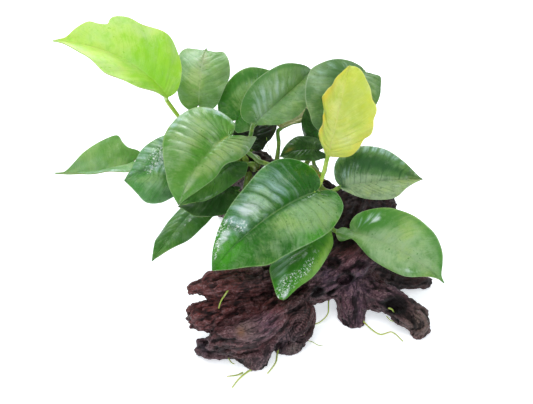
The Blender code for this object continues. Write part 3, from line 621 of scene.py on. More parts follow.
ROOTS = (
    Root("root_1", ((-21, -49, 47), (-25, -54, 48), (-28.5, -57, 44), (-31, -58.5, 40),
                    (-32.5, -61, 36)), 0.9),
    Root("root_2", ((50, -18, 16), (45, -27, 12), (44, -35, 6), (39, -39, 2), (33, -42, 1.2)), 0.8),
    Root("root_3", ((64, -34, 8), (71, -43, 3), (80, -51, 1.2), (89, -49, 1.2), (96, -58, 1.2)), 0.8),
    Root("root_4", ((-16, -87.5, 1.3), (-20, -89.8, 1.3), (-27, -91, 1.2)), 0.8),
    Root("root_5", ((-2, -74, 6), (-5.5, -82, 2.2), (-13, -87, 1.4), (-19, -94, 1.4),
                    (-23, -100.9, 1.2)), 1.0),
    Root("root_6", ((9, -65, 5), (7.4, -71, 1.8), (6.6, -77, 1.4), (4.6, -82, 1.4),
                    (0.5, -88.5, 1.2)), 0.9),
)
ROOT_POINTS = 60
ROOT_TAPER = 0.6
ROOT_SHARE_OF_SOLID = 0.8
FINE_ROOT_POINTS = 24

# Roots too thin for solids: points along each, and its radius.
FINE_ROOTS = (
    (((26, -62, 12), (29, -60, 4), (32, -58, 0.8), (36, -61, 0.6), (40, -62, 0.6)), 0.35),
    (((-28, -72, 5), (-26, -76, 2.8), (-24, -78, 1.0), (-22, -79, 0.6)), 0.5),
    (((86, -39, 15), (87, -43, 18.5), (88.5, -44.5, 18.5), (90, -44, 15)), 0.7),
    (((85, -43, 11), (87, -46, 10.5), (89, -46.5, 9.5), (91, -45, 8)), 0.5),
    (((0, 62, 92), (1, 60, 84), (4, 57, 77), (3, 56, 72)), 0.3),
    (((-24, 44, 82), (-27, 36, 76), (-30, 30, 68), (-28, 24, 60)), 0.4),
    (((-36, 40, 62), (-40, 36, 50), (-41, 38, 40)), 0.3),
    (((-32, 44, 70), (-38, 42, 60), (-37, 40, 48), (-42, 42, 38)), 0.3),
)

WOOD_BLEND_VOXEL = 1.6
WOOD_VOXEL = 0.85
GRAIN_POINTS = 60
STROKE_POINTS = 70
POINTS_AT_ONCE = 20000

# How sharply the grain of one limb gives way to the next, the least share that counts, and how far apart
# the noise of two limbs is read.
BLEND_SHARPNESS = 7
LEAST_WEIGHT = 0.04
LIMB_SHIFT = 17.3
SPLINTER_SHIFT = 5.1

# A pit is dark out to this many times its size, and fades over this share. A chip rises by this much of
# its tilt.
PIT_REACH = 1.35
PIT_FADE = 0.35
CHIP_TILT = 1.6

# Colours of the wood, read from 0 to 255.
# Of these, crest is a painted highlight; low, dark and hollow are painted shade; grey and violet are partly
# the wood's own tint and partly painted sheen.
WOOD_COLOURS = {
    "furrow": (38, 26, 27), "face": (66, 46, 46), "red": (114, 50, 44), "grey": (56, 56, 70),
    "violet": (90, 70, 96), "pale": (122, 108, 94), "dark": (13, 9, 8), "crest": (142, 112, 116),
    "low": (20, 13, 15), "seam": (16, 10, 11), "fibre": (20, 13, 14), "crumb": (22, 15, 17),
    "broad": (26, 19, 20), "knot": (140, 100, 76), "hollow": (9, 6, 7),
}

# Linear colours of the painted highlights and glints on a wet leaf, and the two tints that warm and cool its
# green.
GLEAM = (0.60, 0.71, 0.68, 1.0)
SPARKLE = (0.85, 0.92, 0.90, 1.0)
WARMER = (1.06, 1.03, 0.55, 1.0)
COOLER = (0.84, 0.93, 1.05, 1.0)
DRY_ROUGHNESS = 0.44
WET_ROUGHNESS = 0.12

FLOOR_HALF = 12.0
FLOOR_GLOW = 0.55
ROOM_LIGHT = 0.38


def unit(vector):
    vector = np.asarray(vector, float)
    return vector / np.linalg.norm(vector, axis=-1, keepdims=True)


def place(points):
    """Millimetres from the measuring point, as metres from the origin."""
    return (np.asarray(points, float) - (*CENTRE, 0.0)) * MM


def smooth_curve(points, share):
    """The smooth curve through the points, read at shares from 0 to 1, with equal shares between points."""
    points = np.asarray(points, float)
    padded = np.vstack([2 * points[0] - points[1], points, 2 * points[-1] - points[-2]])
    at = np.clip(np.asarray(share, float), 0, 1) * (len(points) - 1)
    start = np.minimum(at.astype(int), len(points) - 2)
    f = (at - start)[..., None]
    a, b, c, d = (padded[start + k] for k in range(4))
    return 0.5 * (2 * b + (c - a) * f + (2 * a - 5 * b + 4 * c - d) * f**2 + (3 * b - a - 3 * c + d) * f**3)


def evenly(points, count):
    """The same path, read again at even distances."""
    steps = np.linalg.norm(np.diff(points, axis=0), axis=1)
    run = np.concatenate([[0], np.cumsum(steps)])
    at = np.linspace(0, run[-1], count)
    return np.stack([np.interp(at, run, points[:, k]) for k in range(points.shape[1])], axis=1)


def frame_along(points):
    """At each point of a path: the way it runs, the level way across it, and the way up from it."""
    ahead = unit(np.gradient(points, axis=0))
    across = np.cross(ahead, (0.0, 0.0, 1.0))
    steep = np.linalg.norm(across, axis=1) < 0.35
    across[steep] = np.cross(ahead[steep], (0.0, 1.0, 0.0))
    across = unit(across)
    for i in range(1, len(across)):
        if across[i] @ across[i - 1] < 0:
            across[i] = -across[i]
    return ahead, across, np.cross(across, ahead)


def hashed(cell, seed):
    """A whole number for each cell of a grid, which looks random and is the same for the same seed."""
    key = np.bitwise_xor.reduce(cell * (73856093, 19349663, 83492791), axis=1) ^ (seed * 2654435761 + 974711)
    key = ((key ^ (key >> 13)) * 1274126177) & 0xFFFFFFFF
    return key ^ (key >> 15)


def grain_noise(points, seed=0):
    """Smooth noise from about -1 to 1 at each point."""
    cell = np.floor(points).astype(np.int64)
    f = points - cell
    ease = f * f * f * (f * (f * 6 - 15) + 10)
    total = np.zeros(len(points))
    for corner in itertools.product((0, 1), repeat=3):
        key = hashed(cell + corner, seed)
        slope = np.stack([((key >> shift) & 255) / 127.5 - 1 for shift in (0, 8, 16)], axis=1)
        weight = np.prod(np.where(corner, ease, 1 - ease), axis=1)
        total += weight * np.sum(slope * (f - corner), axis=1)
    return total * 1.4


def srgb(red, green, blue):
    """A colour read from 0 to 255, as the linear values that a shader takes."""
    channels = [((c / 255 + 0.055) / 1.055) ** 2.4 if c > 10 else c / 3295 for c in (red, green, blue)]
    return (*channels, 1.0)


def new_object(name, data):
    """An object in the scene that shows this mesh, lamp or camera."""
    made = bpy.data.objects.new(name, data)
    bpy.context.scene.collection.objects.link(made)
    return made


def mesh_from(name, points, faces):
    """A mesh from points in millimetres."""
    mesh = bpy.data.meshes.new(name)
    mesh.from_pydata(place(points).tolist(), [], faces)
    mesh.update()
    return mesh


def object_from(name, shape):
    """A new object with the mesh that was built in shape, which is freed."""
    mesh = bpy.data.meshes.new(name)
    shape.to_mesh(mesh)
    shape.free()
    return new_object(name, mesh)


def joined(name, pieces):
    """One object from several, with nothing merged."""
    shape = bmesh.new()
    for piece in pieces:
        shape.from_mesh(piece.data)
    whole = pieces[0]
    shape.to_mesh(whole.data)
    shape.free()
    for piece in pieces[1:]:
        bpy.data.objects.remove(piece)
    whole.name = name
    return whole


def freeze(piece):
    """Turns a piece with modifiers into the plain mesh that they make."""
    bpy.context.view_layer.update()
    graph = bpy.context.evaluated_depsgraph_get()
    mesh = bpy.data.meshes.new_from_object(
        piece.evaluated_get(graph), preserve_all_data_layers=True, depsgraph=graph)
    piece.modifiers.clear()
    piece.data = mesh


def add_values(mesh, name, values, domain="POINT"):
    """Stores one number for each point of a mesh, for its material to read."""
    layer = mesh.attributes.new(name, "FLOAT", domain)
    layer.data.foreach_set("value", np.ascontiguousarray(values, dtype=np.float32))


def take_part(piece, slot, *nodes):
    """The piece rides on the plant's one body and stands for those solids. Its slot is not used."""
    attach(piece, BODY)
    if nodes:
        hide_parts(*nodes)


# Leaf blades.


def blade_axes(leaf):
    """Length, the ways along and up from the blade, and the steps from the midrib to its widest margins."""
    base, tip = np.asarray(leaf.base, float), np.asarray(leaf.tip, float)
    length = np.linalg.norm(tip - base)
    forward = (tip - base) / length
    up = unit(np.cross(np.subtract(leaf.right, leaf.left), forward))
    rib = base + leaf.widest * (tip - base) + 4 * leaf.sag * leaf.widest * (1 - leaf.widest) * up
    return length, forward, up, leaf.left - rib, leaf.right - rib


def margin_at(leaf, side, along):
    """The margin's share of the half width and of the length, on the left (0) or the right (1)."""
    if leaf.name in OWN_MARGINS:
        own = np.divide(OWN_MARGINS[leaf.name][side], 100)
        outline = smooth_curve(own, np.linspace(0, 1, MARGIN_POINTS))
        length, _, _, left, right = blade_axes(leaf)
        size = (np.linalg.norm((left, right)[side]), length)
        even = evenly(outline * size, MARGIN_STEPS) / size
        steps = np.linspace(0, 1, MARGIN_STEPS)
        return np.stack([np.interp(along, steps, even[:, k]) for k in range(2)], axis=-1)
    outline = smooth_curve(leaf.margins[side], along)
    x, y = outline[..., 0], outline[..., 1]
    shift = (leaf.widest - WIDEST) * y / WIDEST * ((1 - y) / (1 - WIDEST)) ** 2
    return np.stack([x, np.where(y < 0, y * leaf.lobes[side], y + shift)], axis=-1)


def blade_points(leaf, along, across, relief=0.0):
    """Points on the blade's middle surface. along names a side vein, from 0 at the stalk to 1 at the tip.
    across runs along that vein, from the midrib at 0 to the left margin at -1 or the right one at 1."""
    along, across = np.broadcast_arrays(np.asarray(along, float), np.asarray(across, float))
    on_right = across > 0
    margin = np.where(on_right[..., None], margin_at(leaf, 1, along), margin_at(leaf, 0, along))
    rib_y = along**RIB_SPREAD
    a = np.abs(across)
    x = (2 * a * (1 - a) * VEIN_BOW_OUT + a**2) * margin[..., 0]
    y = rib_y + (2 * a * (1 - a) * VEIN_BOW_ALONG + a**2) * (margin[..., 1] - rib_y)
    length, forward, up, left, right = blade_axes(leaf)
    half = np.where(on_right[..., None], right, left)
    lead = np.where(on_right, RUFFLE_LEAD, 0.0) + RUFFLE_TURN * leaf.widest
    wave = np.sin(2 * math.pi * leaf.waves * along + lead)
    crown = 4 * leaf.crown * x * (1 - x) * 1.1 * np.abs(x) / (np.abs(x) + 0.1)
    rise = 4 * leaf.sag * y * (1 - y) + crown + leaf.ruffle * x**2 * wave + relief
    sway = leaf.sway * 4 * y * (1 - y) * np.clip(1 - x, 0, 1)
    return np.asarray(leaf.base, float) + (length * y)[..., None] * forward + x[..., None] * half \
        + rise[..., None] * up + sway[..., None] * unit(right - left)


def leaf_noise(leaf, along, across, often_along, often_across, seed):
    """Smooth noise over a blade, which changes this many times along it and across each half."""
    number = np.full(along.size, float(leaf.name))
    spread = np.stack([along.ravel() * often_along, across.ravel() * often_across, number], axis=1)
    return grain_noise(spread, seed).reshape(along.shape)


def vein_at(leaf, along, across):
    """Counts the side veins along the blade: a whole number on each vein."""
    a = np.abs(across)
    waver = leaf_noise(leaf, along, across, 8, 3, 7)
    stagger = VEIN_STAGGER * (across > 0) * np.clip(a / STAGGER_START, 0, 1)
    return VEIN_COUNT.get(leaf.name, SIDE_VEINS) * along + VEIN_SWEEP * a + VEIN_WAVER * waver + stagger


def blade_relief(leaf, along, across):
    """The blade's fine relief: the midrib's groove, and a swell between each two side veins."""
    a = np.abs(across)
    drift = leaf_noise(leaf, along, across, 5, 2.2, 5)
    waver = leaf_noise(leaf, along, across, 8, 3, 9)
    vein = np.abs(np.sin(math.pi * vein_at(leaf, along, across)))
    level = np.clip(a / SWELL_START, 0, 1) * np.clip((1 - a) / SWELL_END, 0, 1)
    swell = vein**SWELL_POWER * level * np.sin(math.pi * along) ** 0.5
    groove = -RIB_DEPTH.get(leaf.name, PLAIN_RIB_DEPTH) * np.exp(-((a / RIB_HALF) ** 2)) * (1 - along) ** 0.5
    rise = VEIN_DEPTH.get(leaf.name, PLAIN_VEIN_DEPTH) * (swell - 0.5) * (1 + WAVER_SHARE * waver)
    return rise + groove + DRIFT_RISE * drift * np.clip(a / DRIFT_START, 0, 1)


def leaf_blade(leaf, looks):
    """A blade is a sheet between its side veins, closer in its steps at the midrib and at the margin."""
    shares = 1 - (1 - np.linspace(0, 1, BLADE_ROWS + 1)[1:-1]) ** ROW_CROWDING
    half = np.linspace(0, 1, BLADE_COLUMNS + 1)[1:]
    half = half - COLUMN_CROWDING * np.sin(2 * math.pi * half) / 2
    columns = np.concatenate([-half[::-1], [0.0], half])
    along, across = np.meshgrid(shares, columns, indexing="ij")
    rows = blade_points(leaf, along, across, blade_relief(leaf, along, across))
    ends = blade_points(leaf, np.array([0.0, 1.0]), np.zeros(2))
    n, m = along.shape
    first, last = n * m, n * m + 1
    faces = [
        (i * m + j, i * m + j + 1, (i + 1) * m + j + 1, (i + 1) * m + j)
        for i in range(n - 1) for j in range(m - 1)
    ]
    faces += [(first, j + 1, j) for j in range(m - 1)]
    faces += [(last, (n - 1) * m + j, (n - 1) * m + j + 1) for j in range(m - 1)]
    mesh = mesh_from("blade_" + leaf.name, np.vstack([rows.reshape(-1, 3), ends]), faces)
    add_values(mesh, "across", np.append(across.ravel(), (0.0, 0.0)))
    add_values(mesh, "vein", np.append(vein_at(leaf, along, across).ravel(), (0.0, SIDE_VEINS)))
    for kind in ("pale", "painted_sheen", "shade", "warm", "gleam", "sparkle"):
        add_values(mesh, kind, np.append(spot_sum(leaf, kind, along, across).ravel(), (0.0, 0.0)))
    blade = new_object("blade_" + leaf.name, mesh)
    for look in looks:
        mesh.materials.append(look)
    solid = blade.modifiers.new("thickness", "SOLIDIFY")
    solid.thickness = BLADE_THICKNESS * MM
    solid.offset = 0
    solid.material_offset = 1
    solid.material_offset_rim = 2
    freeze(blade)
    blade.data.shade_smooth()
    blade.data.set_sharp_from_angle(angle=SHARP_EDGE)
    take_part(blade, LEAF_SLOTS.get(leaf.name, "leaf"), "leaf_blade_" + leaf.name)


def spot_sum(leaf, kind, along, across):
    """How strong the blade's spots of one kind are at each point, from 0 to 1."""
    total = np.zeros(along.shape)
    for spot in SPOTS.get(leaf.name, ()):
        if spot.kind == kind:
            off = ((along - spot.along) / spot.long) ** 2 + ((across - spot.across) / spot.wide) ** 2
            total = total + spot.strength * np.exp(-off)
    return np.clip(total, 0, 1)


# Stalks, rhizome and roots.


def rhizome_point(share):
    """Centre and radius of the rhizome at a share of its length, with the round ends worked in."""
    rows = smooth_curve([(*point, radius) for point, radius in RHIZOME], share)
    start, growth = RHIZOME_END
    return rows[..., :3], rows[..., 3] * np.clip(np.minimum(share, 1 - share) * growth + start, 0, 1)


def stalk_points(leaf, count):
    """Points along the centre line of a leaf's stalk, from the rhizome's skin to just under the blade."""
    share, turn = leaf.foot
    near, _ = rhizome_point(np.array([share - 0.02, share, share + 0.02]))
    centre, radius = rhizome_point(np.array([share]))
    _, across, up = frame_along(near)
    front = across[1] if across[1][1] < 0 else -across[1]
    angle = math.radians(turn)
    out = math.cos(angle) * up[1] + math.sin(angle) * front
    start = centre[0] + 0.8 * radius[0] * out
    lift = centre[0] + ((1 + SCAR_RISE) * radius[0] + STALK_STAND_OFF) * out
    length, forward, blade_up, left, right = blade_axes(leaf)
    slope = 4 * leaf.sag / length
    rib_ahead, rib_up = unit(forward + slope * blade_up), unit(blade_up - slope * forward)
    arrive = unit(rib_up + leaf.lean * rib_ahead)
    end = blade_points(leaf, np.array([STALK_MEETS]), np.array([0.0]))[0] - 0.5 * leaf.thick * rib_up
    first = (leaf.via[0] if leaf.via else end) - lift
    last = end - (leaf.via[-1] if leaf.via else lift)
    lead = min(STALK_LEAD, STALK_LEAD_SHARE * np.linalg.norm(first))
    tail = min(STALK_LEAD, STALK_LEAD_SHARE * np.linalg.norm(last))
    away = unit(STALK_OUTWARD * out + unit(first))
    points = [start, lift, lift + lead * away, *leaf.via, end - tail * arrive, end]
    return evenly(smooth_curve(points, np.linspace(0, 1, 12 * len(points))), count), rib_up


def stalk_and_keel(leaf):
    """The stalk's route with its radius, which runs on under the blade as the keel of the midrib."""
    stalk, rib_up = stalk_points(leaf, STALK_POINTS)
    shares = np.linspace(STALK_MEETS, KEEL_END, KEEL_POINTS)[1:]
    rib = blade_points(leaf, shares, np.zeros(len(shares)), blade_relief(leaf, shares, np.zeros(len(shares))))
    start, middle = KEEL_START * leaf.thick, KEEL_MIDDLE * leaf.thick
    keel_radius = np.interp(shares, (0, 0.15, 1), (start, middle, KEEL_TIP))
    rib = rib - (KEEL_SUNK * keel_radius)[:, None] * rib_up
    share = np.linspace(0, 1, STALK_POINTS)
    sheath = SHEATH_SHARE * np.exp(-((share * np.linalg.norm(stalk[0] - stalk[-1]) / SHEATH_REACH) ** 2))
    wobble = WOBBLE * np.sin(share * WOBBLE_TURNS + float(leaf.name))
    stalk_radius = leaf.thick * (1 + sheath + wobble) * np.interp(share, (0, 0.5, 1), (1.1, 0.95, 0.95))
    return np.vstack([stalk, rib]), np.append(stalk_radius, keel_radius)


def path_object(name, points, radii):
    """A line of points that remembers how thick the rod along it is at each point."""
    mesh = bpy.data.meshes.new(name)
    edges = [(i, i + 1) for i in range(len(points) - 1)]
    mesh.from_pydata(place(points).tolist(), edges, [])
    add_values(mesh, "thickness", np.asarray(radii) * MM)
    return new_object(name, mesh)


def socket_id(tree, name):
    """The name by which a modifier knows one of its tree's inputs."""
    return next(s.identifier for s in tree.interface.items_tree if s.item_type == "SOCKET" and s.name == name)


def group_node(tree, kind, links=(), **values):
    """A node in a geometry tree. values set its inputs by name, and links join sockets to named inputs."""
    made = tree.nodes.new(kind)
    for name, value in values.items():
        made.inputs[name.replace("_", " ")].default_value = value
    for source, target in links:
        tree.links.new(source, made.inputs[target])
    return made


def rod_tree():
    """Geometry nodes that sweep a round rod along a line of points, as thick as each point's own value."""
    tree = bpy.data.node_groups.new("rod along a path", "GeometryNodeTree")
    tree.interface.new_socket("Geometry", in_out="INPUT", socket_type="NodeSocketGeometry")
    sides = tree.interface.new_socket("Sides", in_out="INPUT", socket_type="NodeSocketInt")
    sides.default_value = 12
    tree.interface.new_socket("Finish", in_out="INPUT", socket_type="NodeSocketMaterial")
    tree.interface.new_socket("Geometry", in_out="OUTPUT", socket_type="NodeSocketGeometry")
    given = tree.nodes.new("NodeGroupInput")
    curve = group_node(tree, "GeometryNodeMeshToCurve", [(given.outputs["Geometry"], "Mesh")])
    thickness = tree.nodes.new("GeometryNodeInputNamedAttribute")
    thickness.data_type = "FLOAT"
    thickness.inputs["Name"].default_value = "thickness"
    run = tree.nodes.new("GeometryNodeSplineParameter")
    kept = group_node(tree, "GeometryNodeStoreNamedAttribute", [
        (curve.outputs["Curve"], "Geometry"), (run.outputs["Length"], "Value")], Name="run")
    kept.data_type = "FLOAT"
    circle = tree.nodes.new("GeometryNodeCurvePrimitiveCircle")
    circle.inputs["Radius"].default_value = 1.0
    tree.links.new(given.outputs["Sides"], circle.inputs["Resolution"])
    sweep = group_node(tree, "GeometryNodeCurveToMesh", [
        (kept.outputs["Geometry"], "Curve"), (circle.outputs["Curve"], "Profile Curve"),
        (thickness.outputs["Attribute"], "Scale")])
    sweep.inputs["Fill Caps"].default_value = True
    smooth = group_node(tree, "GeometryNodeSetShadeSmooth", [(sweep.outputs["Mesh"], "Geometry")])
    real = group_node(tree, "GeometryNodeRealizeInstances", [(smooth.outputs["Geometry"], "Geometry")])
    finish = group_node(tree, "GeometryNodeSetMaterial", [
        (real.outputs["Geometry"], "Geometry"), (given.outputs["Finish"], "Material")])
    out = tree.nodes.new("NodeGroupOutput")
    tree.links.new(finish.outputs["Geometry"], out.inputs["Geometry"])
    return tree


def grow(piece, tree, **values):
    """Runs a geometry tree on a piece with these inputs, and leaves the plain mesh that it makes."""
    step = piece.modifiers.new("grow", "NODES")
    step.node_group = tree
    for name, value in values.items():
        step[socket_id(tree, name)] = value
    freeze(piece)


def rod(name, points, radii, look, sides=12):
    """A round rod along the points, with its own radius at each."""
    made = path_object(name, points, radii)
    grow(made, ROD_TREE, Sides=sides, Finish=look)
    return made


def rhizome(look):
    """The creeping stem, ringed by the scars of old leaves, with a lumpy skin."""
    shares = np.linspace(0, 1, RHIZOME_RINGS)
    centres, radii = rhizome_point(shares)
    _, across, up = frame_along(centres)
    scars = 1 + SCAR_RISE * np.cos(2 * math.pi * LEAF_SCARS * shares)
    fine_rings = 1 - FINE_RING_DEPTH * np.abs(np.sin(math.pi * FINE_RINGS * shares)) ** 6
    turn = np.linspace(0, 2 * math.pi, RHIZOME_SIDES, endpoint=False)
    skin = np.stack([
        np.repeat(shares * 14, RHIZOME_SIDES), np.tile(np.cos(turn) * 1.5, RHIZOME_RINGS),
        np.tile(np.sin(turn) * 1.5, RHIZOME_RINGS)], axis=1)
    lumps = 1 + SKIN_LUMPS * grain_noise(skin, 3).reshape(RHIZOME_RINGS, RHIZOME_SIDES)
    size = (radii * scars * fine_rings)[:, None] * lumps
    rings = centres[:, None] + size[..., None] * (
        np.cos(turn)[None, :, None] * across[:, None] + np.sin(turn)[None, :, None] * up[:, None]
    )
    piece = ringed_object("rhizome_skin", rings)
    add_values(piece.data, "run", np.append(np.repeat(shares, RHIZOME_SIDES), (0.0, 1.0)))
    piece.data.materials.append(look)
    piece.data.shade_smooth()
    return piece


def ringed_object(name, rings):
    """A closed solid through rings of points, with a point in the middle of each end."""
    n, m = rings.shape[:2]
    points = np.vstack([rings.reshape(-1, 3), rings[0].mean(axis=0), rings[-1].mean(axis=0)])
    faces = [
        (i * m + j, i * m + (j + 1) % m, (i + 1) * m + (j + 1) % m, (i + 1) * m + j)
        for i in range(n - 1) for j in range(m)
    ]
    faces += [(n * m, (j + 1) % m, j) for j in range(m)]
    faces += [(n * m + 1, (n - 1) * m + j, (n - 1) * m + (j + 1) % m) for j in range(m)]
    made = new_object(name, mesh_from(name, points, faces))
    shape = bmesh.new()
    shape.from_mesh(made.data)
    bmesh.ops.recalc_face_normals(shape, faces=shape.faces)
    shape.to_mesh(made.data)
    shape.free()
    return made


def fine_roots(look):
    """The thinnest roots, as one piece."""
    share = np.linspace(0, 1, FINE_ROOT_POINTS)
    return joined("fine_roots", [
        rod(f"thread_{number}", smooth_curve(points, share),
            np.linspace(radius, ROOT_TAPER * radius, FINE_ROOT_POINTS), look, sides=6)
        for number, (points, radius) in enumerate(FINE_ROOTS)
    ])


def hair_tree():
    """Geometry nodes that plant short bent hairs on a skin, each turned and sized at random."""
    tree = bpy.data.node_groups.new("root hairs", "GeometryNodeTree")
    tree.interface.new_socket("Geometry", in_out="INPUT", socket_type="NodeSocketGeometry")
    for label, kind in (("Density", "NodeSocketFloat"), ("Length", "NodeSocketFloat"),
                        ("Thickness", "NodeSocketFloat"), ("Finish", "NodeSocketMaterial")):
        tree.interface.new_socket(label, in_out="INPUT", socket_type=kind)
    tree.interface.new_socket("Geometry", in_out="OUTPUT", socket_type="NodeSocketGeometry")
    given = tree.nodes.new("NodeGroupInput").outputs
    planted = group_node(tree, "GeometryNodeDistributePointsOnFaces", [
        (given["Geometry"], "Mesh"), (given["Density"], "Density")], Seed=5)
    bend = group_node(tree, "GeometryNodeCurveQuadraticBezier", Resolution=5, Start=(0, 0, 0),
                      Middle=(0.15, 0, 0.6), End=(0.55, 0.1, 0.9))
    sized = group_node(tree, "GeometryNodeTransform", [(bend.outputs["Curve"], "Geometry")])
    spread = tree.nodes.new("ShaderNodeCombineXYZ")
    for axis in "XYZ":
        tree.links.new(given["Length"], spread.inputs[axis])
    tree.links.new(spread.outputs[0], sized.inputs["Scale"])
    profile = tree.nodes.new("GeometryNodeCurvePrimitiveCircle")
    profile.inputs["Resolution"].default_value = 4
    tree.links.new(given["Thickness"], profile.inputs["Radius"])
    hair = group_node(tree, "GeometryNodeCurveToMesh", [
        (sized.outputs["Geometry"], "Curve"), (profile.outputs["Curve"], "Profile Curve")])
    hair.inputs["Fill Caps"].default_value = True
    # The first two inputs of a random value are the least and most of a vector, and the next two of a number.
    scale = tree.nodes.new("FunctionNodeRandomValue")
    scale.inputs[2].default_value, scale.inputs[3].default_value = 0.4, 1.5
    turn = tree.nodes.new("FunctionNodeRandomValue")
    turn.data_type = "FLOAT_VECTOR"
    turn.inputs[0].default_value, turn.inputs[1].default_value = (-0.7, -0.7, 0.0), (0.7, 0.7, 6.28)
    set_out = group_node(tree, "GeometryNodeInstanceOnPoints", [
        (planted.outputs["Points"], "Points"), (hair.outputs["Mesh"], "Instance"),
        (planted.outputs["Rotation"], "Rotation"), (scale.outputs[1], "Scale")])
    turned = group_node(tree, "GeometryNodeRotateInstances", [
        (set_out.outputs["Instances"], "Instances"), (turn.outputs[0], "Rotation")])
    real = group_node(tree, "GeometryNodeRealizeInstances", [(turned.outputs["Instances"], "Geometry")])
    finish = group_node(tree, "GeometryNodeSetMaterial", [
        (real.outputs["Geometry"], "Geometry"), (given["Finish"], "Material")])
    out = tree.nodes.new("NodeGroupOutput")
    tree.links.new(finish.outputs["Geometry"], out.inputs["Geometry"])
    return tree


# Driftwood.


def limb_rows(limb, count):
    """Centres, half widths and half heights at even shares of a limb's path."""
    rows = smooth_curve([(*point, wide, high) for point, wide, high in limb.path], np.linspace(0, 1, count))
    return rows[:, :3], rows[:, 3], rows[:, 4]


def limb_object(limb):
    """A limb as an oval swept along its path, with the same ridges along the grain as its solid."""
    phases = np.random.default_rng(limb.seed).uniform(0, 2 * math.pi, len(RIDGES))
    centres, wide, high = limb_rows(limb, LIMB_RINGS)
    _, across, up = frame_along(centres)
    turn = np.linspace(0, 2 * math.pi, LIMB_SIDES, endpoint=False)[None, :]
    along = np.linspace(0, 1, LIMB_RINGS)[:, None]
    ridge = sum(
        height * np.sin(waves * turn + phase + twist * along)
        for (waves, twist, height), phase in zip(RIDGES, phases)
    )
    start, growth = LIMB_END
    swell = (1 + RIDGE_DEPTH * ridge) * np.clip(np.minimum(along, 1 - along) * growth + start, 0, 1)
    out_x, out_z = wide[:, None] * swell * np.cos(turn), high[:, None] * swell * np.sin(turn)
    return ringed_object(limb.name + "_form", centres[:, None] + out_x[..., None] * across[:, None]
                         + out_z[..., None] * up[:, None])


def remesh(piece, voxel):
    """Makes the piece one closed skin of even small faces."""
    step = piece.modifiers.new("remesh", "REMESH")
    step.mode = "VOXEL"
    step.voxel_size = voxel * MM
    freeze(piece)


def pit_object(centre, half_sizes, tip=0.0):
    """A cutter with the shape of an egg, tipped down towards the back by this many degrees."""
    shape = bmesh.new()
    bmesh.ops.create_icosphere(shape, subdivisions=3, radius=MM)
    bmesh.ops.scale(shape, verts=shape.verts, vec=half_sizes)
    tipped = Matrix.Rotation(-math.radians(tip), 3, "X")
    bmesh.ops.rotate(shape, verts=shape.verts, cent=(0, 0, 0), matrix=tipped)
    bmesh.ops.translate(shape, verts=shape.verts, vec=place([centre])[0])
    return object_from("pit", shape)


def ground_block():
    """A cutter that takes off all that is below the ground."""
    shape = bmesh.new()
    bmesh.ops.create_cube(shape, size=GROUND_BLOCK)
    bmesh.ops.translate(shape, verts=shape.verts, vec=(0, 0, -GROUND_BLOCK / 2))
    return object_from("ground_block", shape)


def cut(piece, cutters):
    """Takes the cutters out of the piece, and removes them."""
    for cutter in cutters:
        step = piece.modifiers.new("cut", "BOOLEAN")
        step.operation = "DIFFERENCE"
        step.solver = "EXACT"
        step.object = cutter
    freeze(piece)
    for cutter in cutters:
        bpy.data.objects.remove(cutter)


def read_vectors(rows, name):
    """A value with three numbers from each of a mesh's points."""
    flat = np.empty(len(rows) * 3)
    rows.foreach_get(name, flat)
    return flat.reshape(-1, 3)


def grain_of(points):
    """How much each point belongs to each limb, and where it is along and across that limb's grain."""
    found = []
    for limb in LIMBS:
        centres, wide, high = limb_rows(limb, GRAIN_POINTS)
        _, across, up = frame_along(centres)
        run = np.concatenate([[0], np.cumsum(np.linalg.norm(np.diff(centres, axis=0), axis=1))])
        near = np.empty(len(points), dtype=int)
        for start in range(0, len(points), POINTS_AT_ONCE):
            some = slice(start, start + POINTS_AT_ONCE)
            near[some] = ((points[some, None] - centres[None]) ** 2).sum(axis=2).argmin(axis=1)
        off = points - centres[near]
        ahead = unit(np.gradient(centres, axis=0))[near]
        x, z = (off * across[near]).sum(axis=1), (off * up[near]).sum(axis=1)
        past = (off * ahead).sum(axis=1)
        far = np.sqrt((x / wide[near]) ** 2 + (z / high[near]) ** 2 + (past / wide[near]) ** 2)
        found.append((far, np.stack([run[near] + past, x, z], axis=1)))
    far = np.stack([f for f, _ in found])
    weights = np.exp(-BLEND_SHARPNESS * (far - far.min(axis=0)))
    weights[weights < LEAST_WEIGHT] = 0
    weights /= weights.sum(axis=0)
    return weights, [place_along for _, place_along in found]


def along_grain(weights, places, marks, shape=None):
    """Noise drawn out along the grain of each limb, and mixed where limbs meet."""
    total = np.zeros(weights.shape[1])
    for k, place_along in enumerate(places):
        here = weights[k] > 0
        spread = place_along[here] / (marks.long, marks.wide, marks.wide)
        value = grain_noise(spread + LIMB_SHIFT * k, marks.seed + k)
        total[here] += weights[k][here] * (shape(value) if shape else value)
    return marks.high * total


def driftwood(look):
    """All the limbs grown into one piece of wood, with its grain, cracks, pits and broken ends."""
    wood = joined("driftwood_piece", [limb_object(limb) for limb in LIMBS])
    remesh(wood, WOOD_BLEND_VOXEL)
    soften(wood, 3)
    cut(wood, [ground_block()] + [pit_object(*pit) for pit in (*PITS, *NOTCHES)])
    raise_surface(wood, coarse_height)
    remesh(wood, WOOD_VOXEL)
    soften(wood, 1)
    tones = raise_surface(wood, fine_height)
    grain = wood.data.attributes.new("grain", "FLOAT_VECTOR", "POINT")
    grain.data.foreach_set("vector", np.ascontiguousarray(tones.pop("grain") * MM, dtype=np.float32).ravel())
    for name, values in tones.items():
        add_values(wood.data, name, values)
    wood.data.materials.clear()
    wood.data.materials.append(look)
    wood.data.shade_smooth()
    take_part(wood, "driftwood", *[limb.name for limb in LIMBS])


def soften(piece, times):
    """Evens out the piece's points with their neighbours."""
    step = piece.modifiers.new("soften", "SMOOTH")
    step.factor = 0.5
    step.iterations = times
    freeze(piece)


